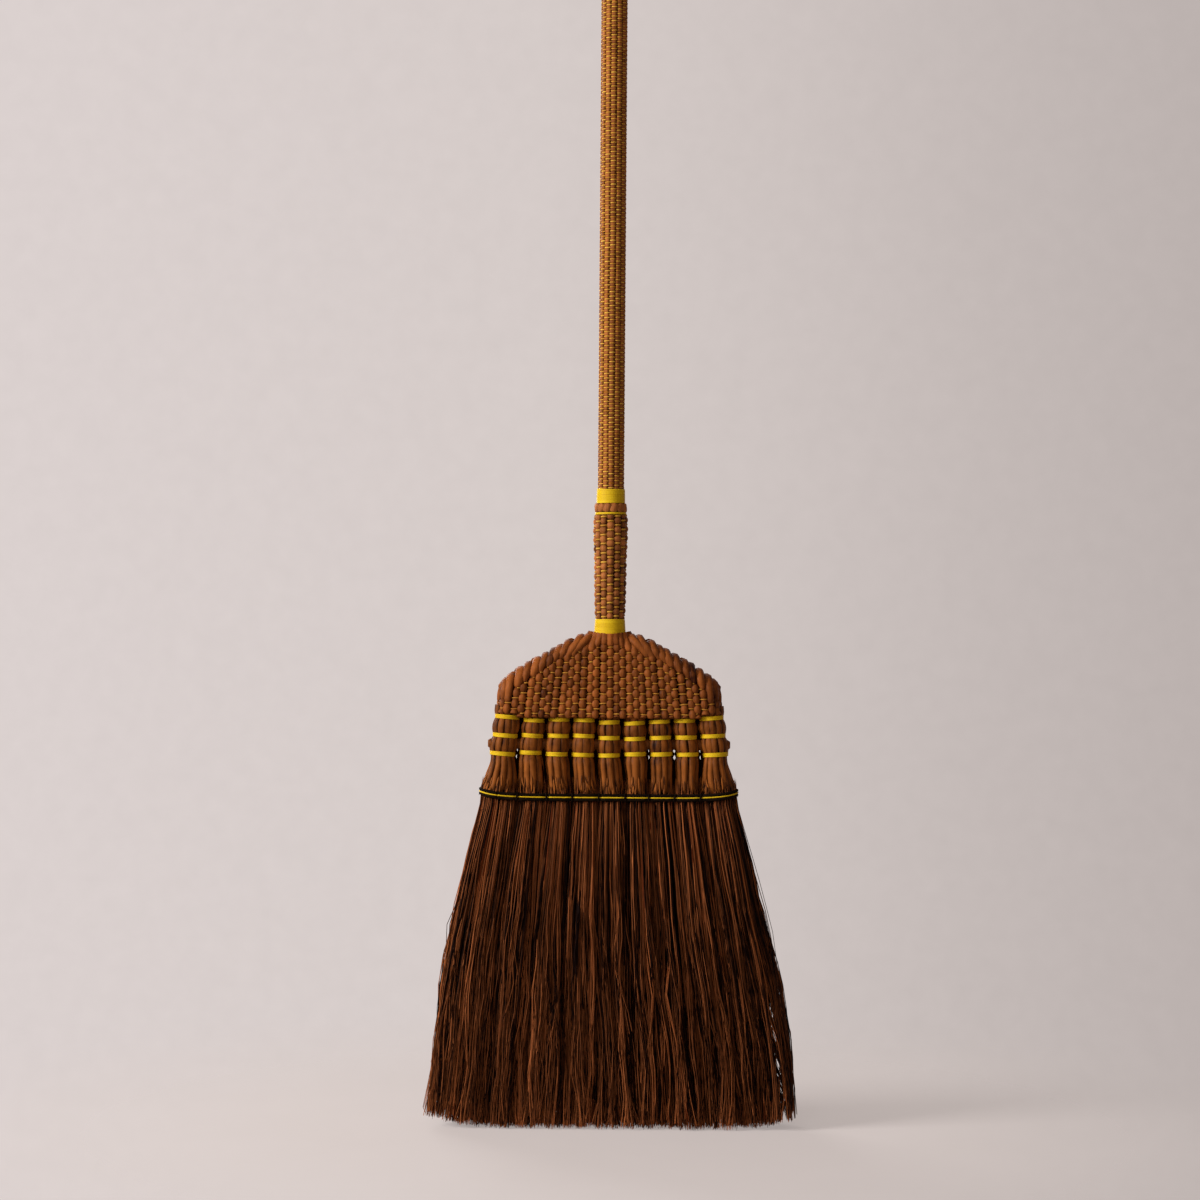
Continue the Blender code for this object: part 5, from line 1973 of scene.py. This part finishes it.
@dataclass
class Studio:
    """The floor, the backdrop, the lights and the camera."""

    floor_radius: float = 0.9
    # The distances at which the floor starts to fade and is gone.
    fade: tuple[float, float] = (0.10, 0.75)
    floor_glow: float = 0.50
    ambient_colour: Colour = screen(255, 226, 202)
    ambient: float = 0.14
    # How far the wall's plaster grain swings round the full strength.
    grain: float = 0.035
    # The wall from left to right, with painted shade that darkens it away from the key lamp.
    wall: tuple[tuple[float, Colour], ...] = (
        (0.0, screen(219, 209, 207)),
        (0.45, screen(213, 203, 200)),
        (0.66, screen(204, 194, 191)),
        (0.82, screen(195, 185, 182)),
        (1.0, screen(187, 177, 174)),
    )
    lamps: tuple[Lamp, ...] = (
        Lamp("key", (-2.6, -1.2, 1.5), (0, 0, 0.55), 1.2, 98),
        Lamp("fill", (-0.6, -2.9, 1.4), (0, 0, 0.5), 1.2, 14),
        Lamp("back fill", (-1.2, 2.6, 1.4), (0, 0, 0.5), 1.6, 34),
    )
    camera_place: Point = (-0.0087, -2.58, 0.4515)
    camera_roll: float = 0.42
    lens: float = 90
    sensor: float = 36

    def floor(self) -> None:
        """Build the pale floor, which fades out away from the broom."""
        work = bmesh.new()
        bmesh.ops.create_circle(work, cap_ends=True, segments=96, radius=self.floor_radius)
        data = bpy.data.meshes.new("floor")
        work.to_mesh(data)
        work.free()
        shader = Shader("pale floor")
        cloud = shader.noise(shader.place(), 6.0, 3.0)
        where = shader.node("TexCoord", {}).outputs["Object"]
        length = shader.node("VectorMath", {0: where}, "LENGTH").outputs["Value"]
        near, far = self.fade
        fade = shader.node("MapRange", {"From Min": near, "From Max": far, "To Min": 1.0, "To Max": 0.0})
        fade.interpolation_type = "SMOOTHSTEP"
        shader.fill(fade, {"Value": length})
        inputs = {
            "Base Color": shader.ramp(cloud, ((0.2, screen(170, 161, 157)), (0.8, screen(176, 167, 164)))),
            "Emission Color": screen(212, 202, 199),
            "Emission Strength": self.floor_glow,
            "Roughness": 0.9,
            "Specular IOR Level": 0.1,
            "Alpha": fade.outputs["Result"],
        }
        shader.fill(shader.surface, inputs)
        data.materials.append(shader.material)
        linked("floor", data)

    def backdrop(self) -> None:
        """Paint the world: a soft pale wall to the eye, with painted shade towards its right, and a low light
        all round.
        """
        world = bpy.data.worlds.new("studio")
        bpy.context.scene.world = world
        world.use_nodes = True
        work = NodeWork(world.node_tree)
        work.nodes.clear()
        where = work.node("TexCoord", {}).outputs["Generated"]
        side = work.node("SeparateXYZ", {0: where}).outputs["X"]
        across = work.node("MapRange", {"From Min": -0.2, "From Max": 0.2, "Value": side}).outputs["Result"]
        swing = {"To Min": 1 - self.grain, "To Max": 1 + self.grain, "Value": work.noise(where, 160.0, 4.0)}
        strength = work.node("MapRange", swing).outputs["Result"]
        wall = work.node("Background", {"Color": work.ramp(across, self.wall), "Strength": strength})
        ambient = work.node("Background", {"Color": self.ambient_colour, "Strength": self.ambient})
        rays = work.node("LightPath", {})
        seen = rays.outputs["Is Camera Ray"]
        for kind in ("Is Glossy Ray", "Is Transmission Ray"):
            seen = work.node("Math", {0: seen, 1: rays.outputs[kind]}, "MAXIMUM").outputs[0]
        mix = work.node("MixShader", {0: seen, 1: ambient.outputs[0], 2: wall.outputs[0]})
        work.node("OutputWorld", {"Surface": mix.outputs[0]})

    def camera(self) -> None:
        """Set the camera level with the middle of the view, rolled a little."""
        data = bpy.data.cameras.new("camera")
        data.lens = self.lens
        data.sensor_width = self.sensor
        camera = linked("camera", data)
        camera.location = self.camera_place
        camera.rotation_euler = (math.pi / 2, -math.radians(self.camera_roll), 0)
        bpy.context.scene.camera = camera

    def build(self) -> None:
        """Set up the whole studio."""
        self.camera()
        self.floor()
        self.backdrop()
        for lamp in self.lamps:
            lamp.hang()
        bpy.context.scene.view_settings.view_transform = "Standard"


def build_handle() -> None:
    """Weave the handle's covering."""
    low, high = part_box("handle_sheath")
    handle = RoundWeave(
        name="handle",
        columns=13,
        pitch=0.0020,
        low=low.z + 0.0003,
        high=high.z - 0.0003,
        profile=((0.5, 0.0115), (1.3, 0.0115)),
        stalk_width=0.0028,
        stalk_depth=0.0011,
        dip=0.0007,
        weft_height=0.00060,
        weft_depth=0.00050,
        weft_high=high.z - 0.002,
        waist=0.78,
        tone_spread=0.10,
        steps=3,
        sides=5,
        seed=11,
    )
    seat(handle.stalks(GOLDEN_STALK.make()), ["handle_sheath"])
    seat(handle.weft(GOLDEN_WEFT.make()))


def build_neck(stalk: bpy.types.Material) -> None:
    """Weave the neck.

    Args:
        stalk: The material of its stalks.
    """
    low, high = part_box("neck_weave")
    neck = RoundWeave(
        name="neck",
        columns=13,
        pitch=0.0039,
        low=low.z + 0.0002,
        high=high.z - 0.0028,
        profile=(
            (0.418, 0.0124), (0.434, 0.0124), (0.437, 0.0134), (0.452, 0.0139), (0.469, 0.0142),
            (0.486, 0.0143), (0.503, 0.0151), (0.512, 0.0153), (0.523, 0.0149),
        ),
        stalk_width=0.0037,
        stalk_depth=0.0026,
        dip=0.0019,
        weft_height=0.00088,
        weft_depth=0.0006,
        weft_sink=0.0003,
        weft_low=0.4365,
        waist=0.68,
        shade=0.65,
        tone_spread=0.20,
        steps=6,
        sides=8,
        seed=21,
    )
    seat(neck.stalks(stalk), ["neck_weave"])
    seat(neck.weft(NECK_WEFT.make()))


def build_head(core: bpy.types.Material, yellow: bpy.types.Material) -> None:
    """Build the bundles with their bindings and bristles, the cross rod and the stitched band.

    Args:
        core: The material of the cores, painted dark as painted shade.
        yellow: The yellow twine.
    """
    stalk, bristle = BUNDLE_STALK.make(), DARK_BRISTLE.make()
    shape = BroomShape()
    for number in range(1, BUNDLES + 1):
        bundle = BoundBundle(number, shape)
        seat(bundle.stalks(stalk), [f"bundle_{number}"])
        seat(bundle.core(core))
        levels = [f"binding_{level}_{number}" for level in reversed(LEVELS)]
        seat(bundle.bindings(yellow), levels)
        seat(BristleBunch(number, shape).build(bristle), [f"bristle_bunch_{number}"])
    seat(CrossRod().build(stalk), ["cross_rod"])
    dark, gold = StitchedBand(shape).build(BLACK_TWINE.make(), yellow)
    seat(dark, ["stitch_black"])
    seat(gold, ["stitch_yellow"])


def main() -> None:
    """Build the broom piece by piece and set up the studio."""
    logging.basicConfig(level=logging.INFO, format="%(name)s %(message)s")
    neck_stalk, core, yellow = NECK_STALK.make(), SHADE_CORE.make(), YELLOW_TWINE.make()
    build_handle()
    build_neck(neck_stalk)
    collars = (
        TwineCollar("upper_collar", 13, 0.0127, 0.0125, 0.00056, 41, loose=0.0006, drop=0.0015),
        TwineCollar("neck_ring", 2, 0.0139, 0.0139, 0.0006, 42),
        TwineCollar("lower_collar", 14, 0.0140, 0.0132, 0.00054, 43),
        TwineCollar("end_binding", 13, 0.0128, 0.0128, 0.00056, 44),
    )
    for collar in collars:
        seat(collar.build(yellow), [collar.node])
    seat(StalkFold().build(neck_stalk), ["stalk_fold"])

    shoulder = WovenShoulder()
    seat(shoulder.stalks(BROWN_STALK.make()), ["shoulder_weave"])
    seat(shoulder.weft(BROWN_WEFT.make()))
    seat(shoulder.core(core))
    build_head(core, yellow)

    wood = PALE_WOOD.make()
    for material_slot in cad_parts["handle_pole"].material_slots:
        material_slot.material = wood

    Studio().build()


if __name__ == "__main__":
    main()
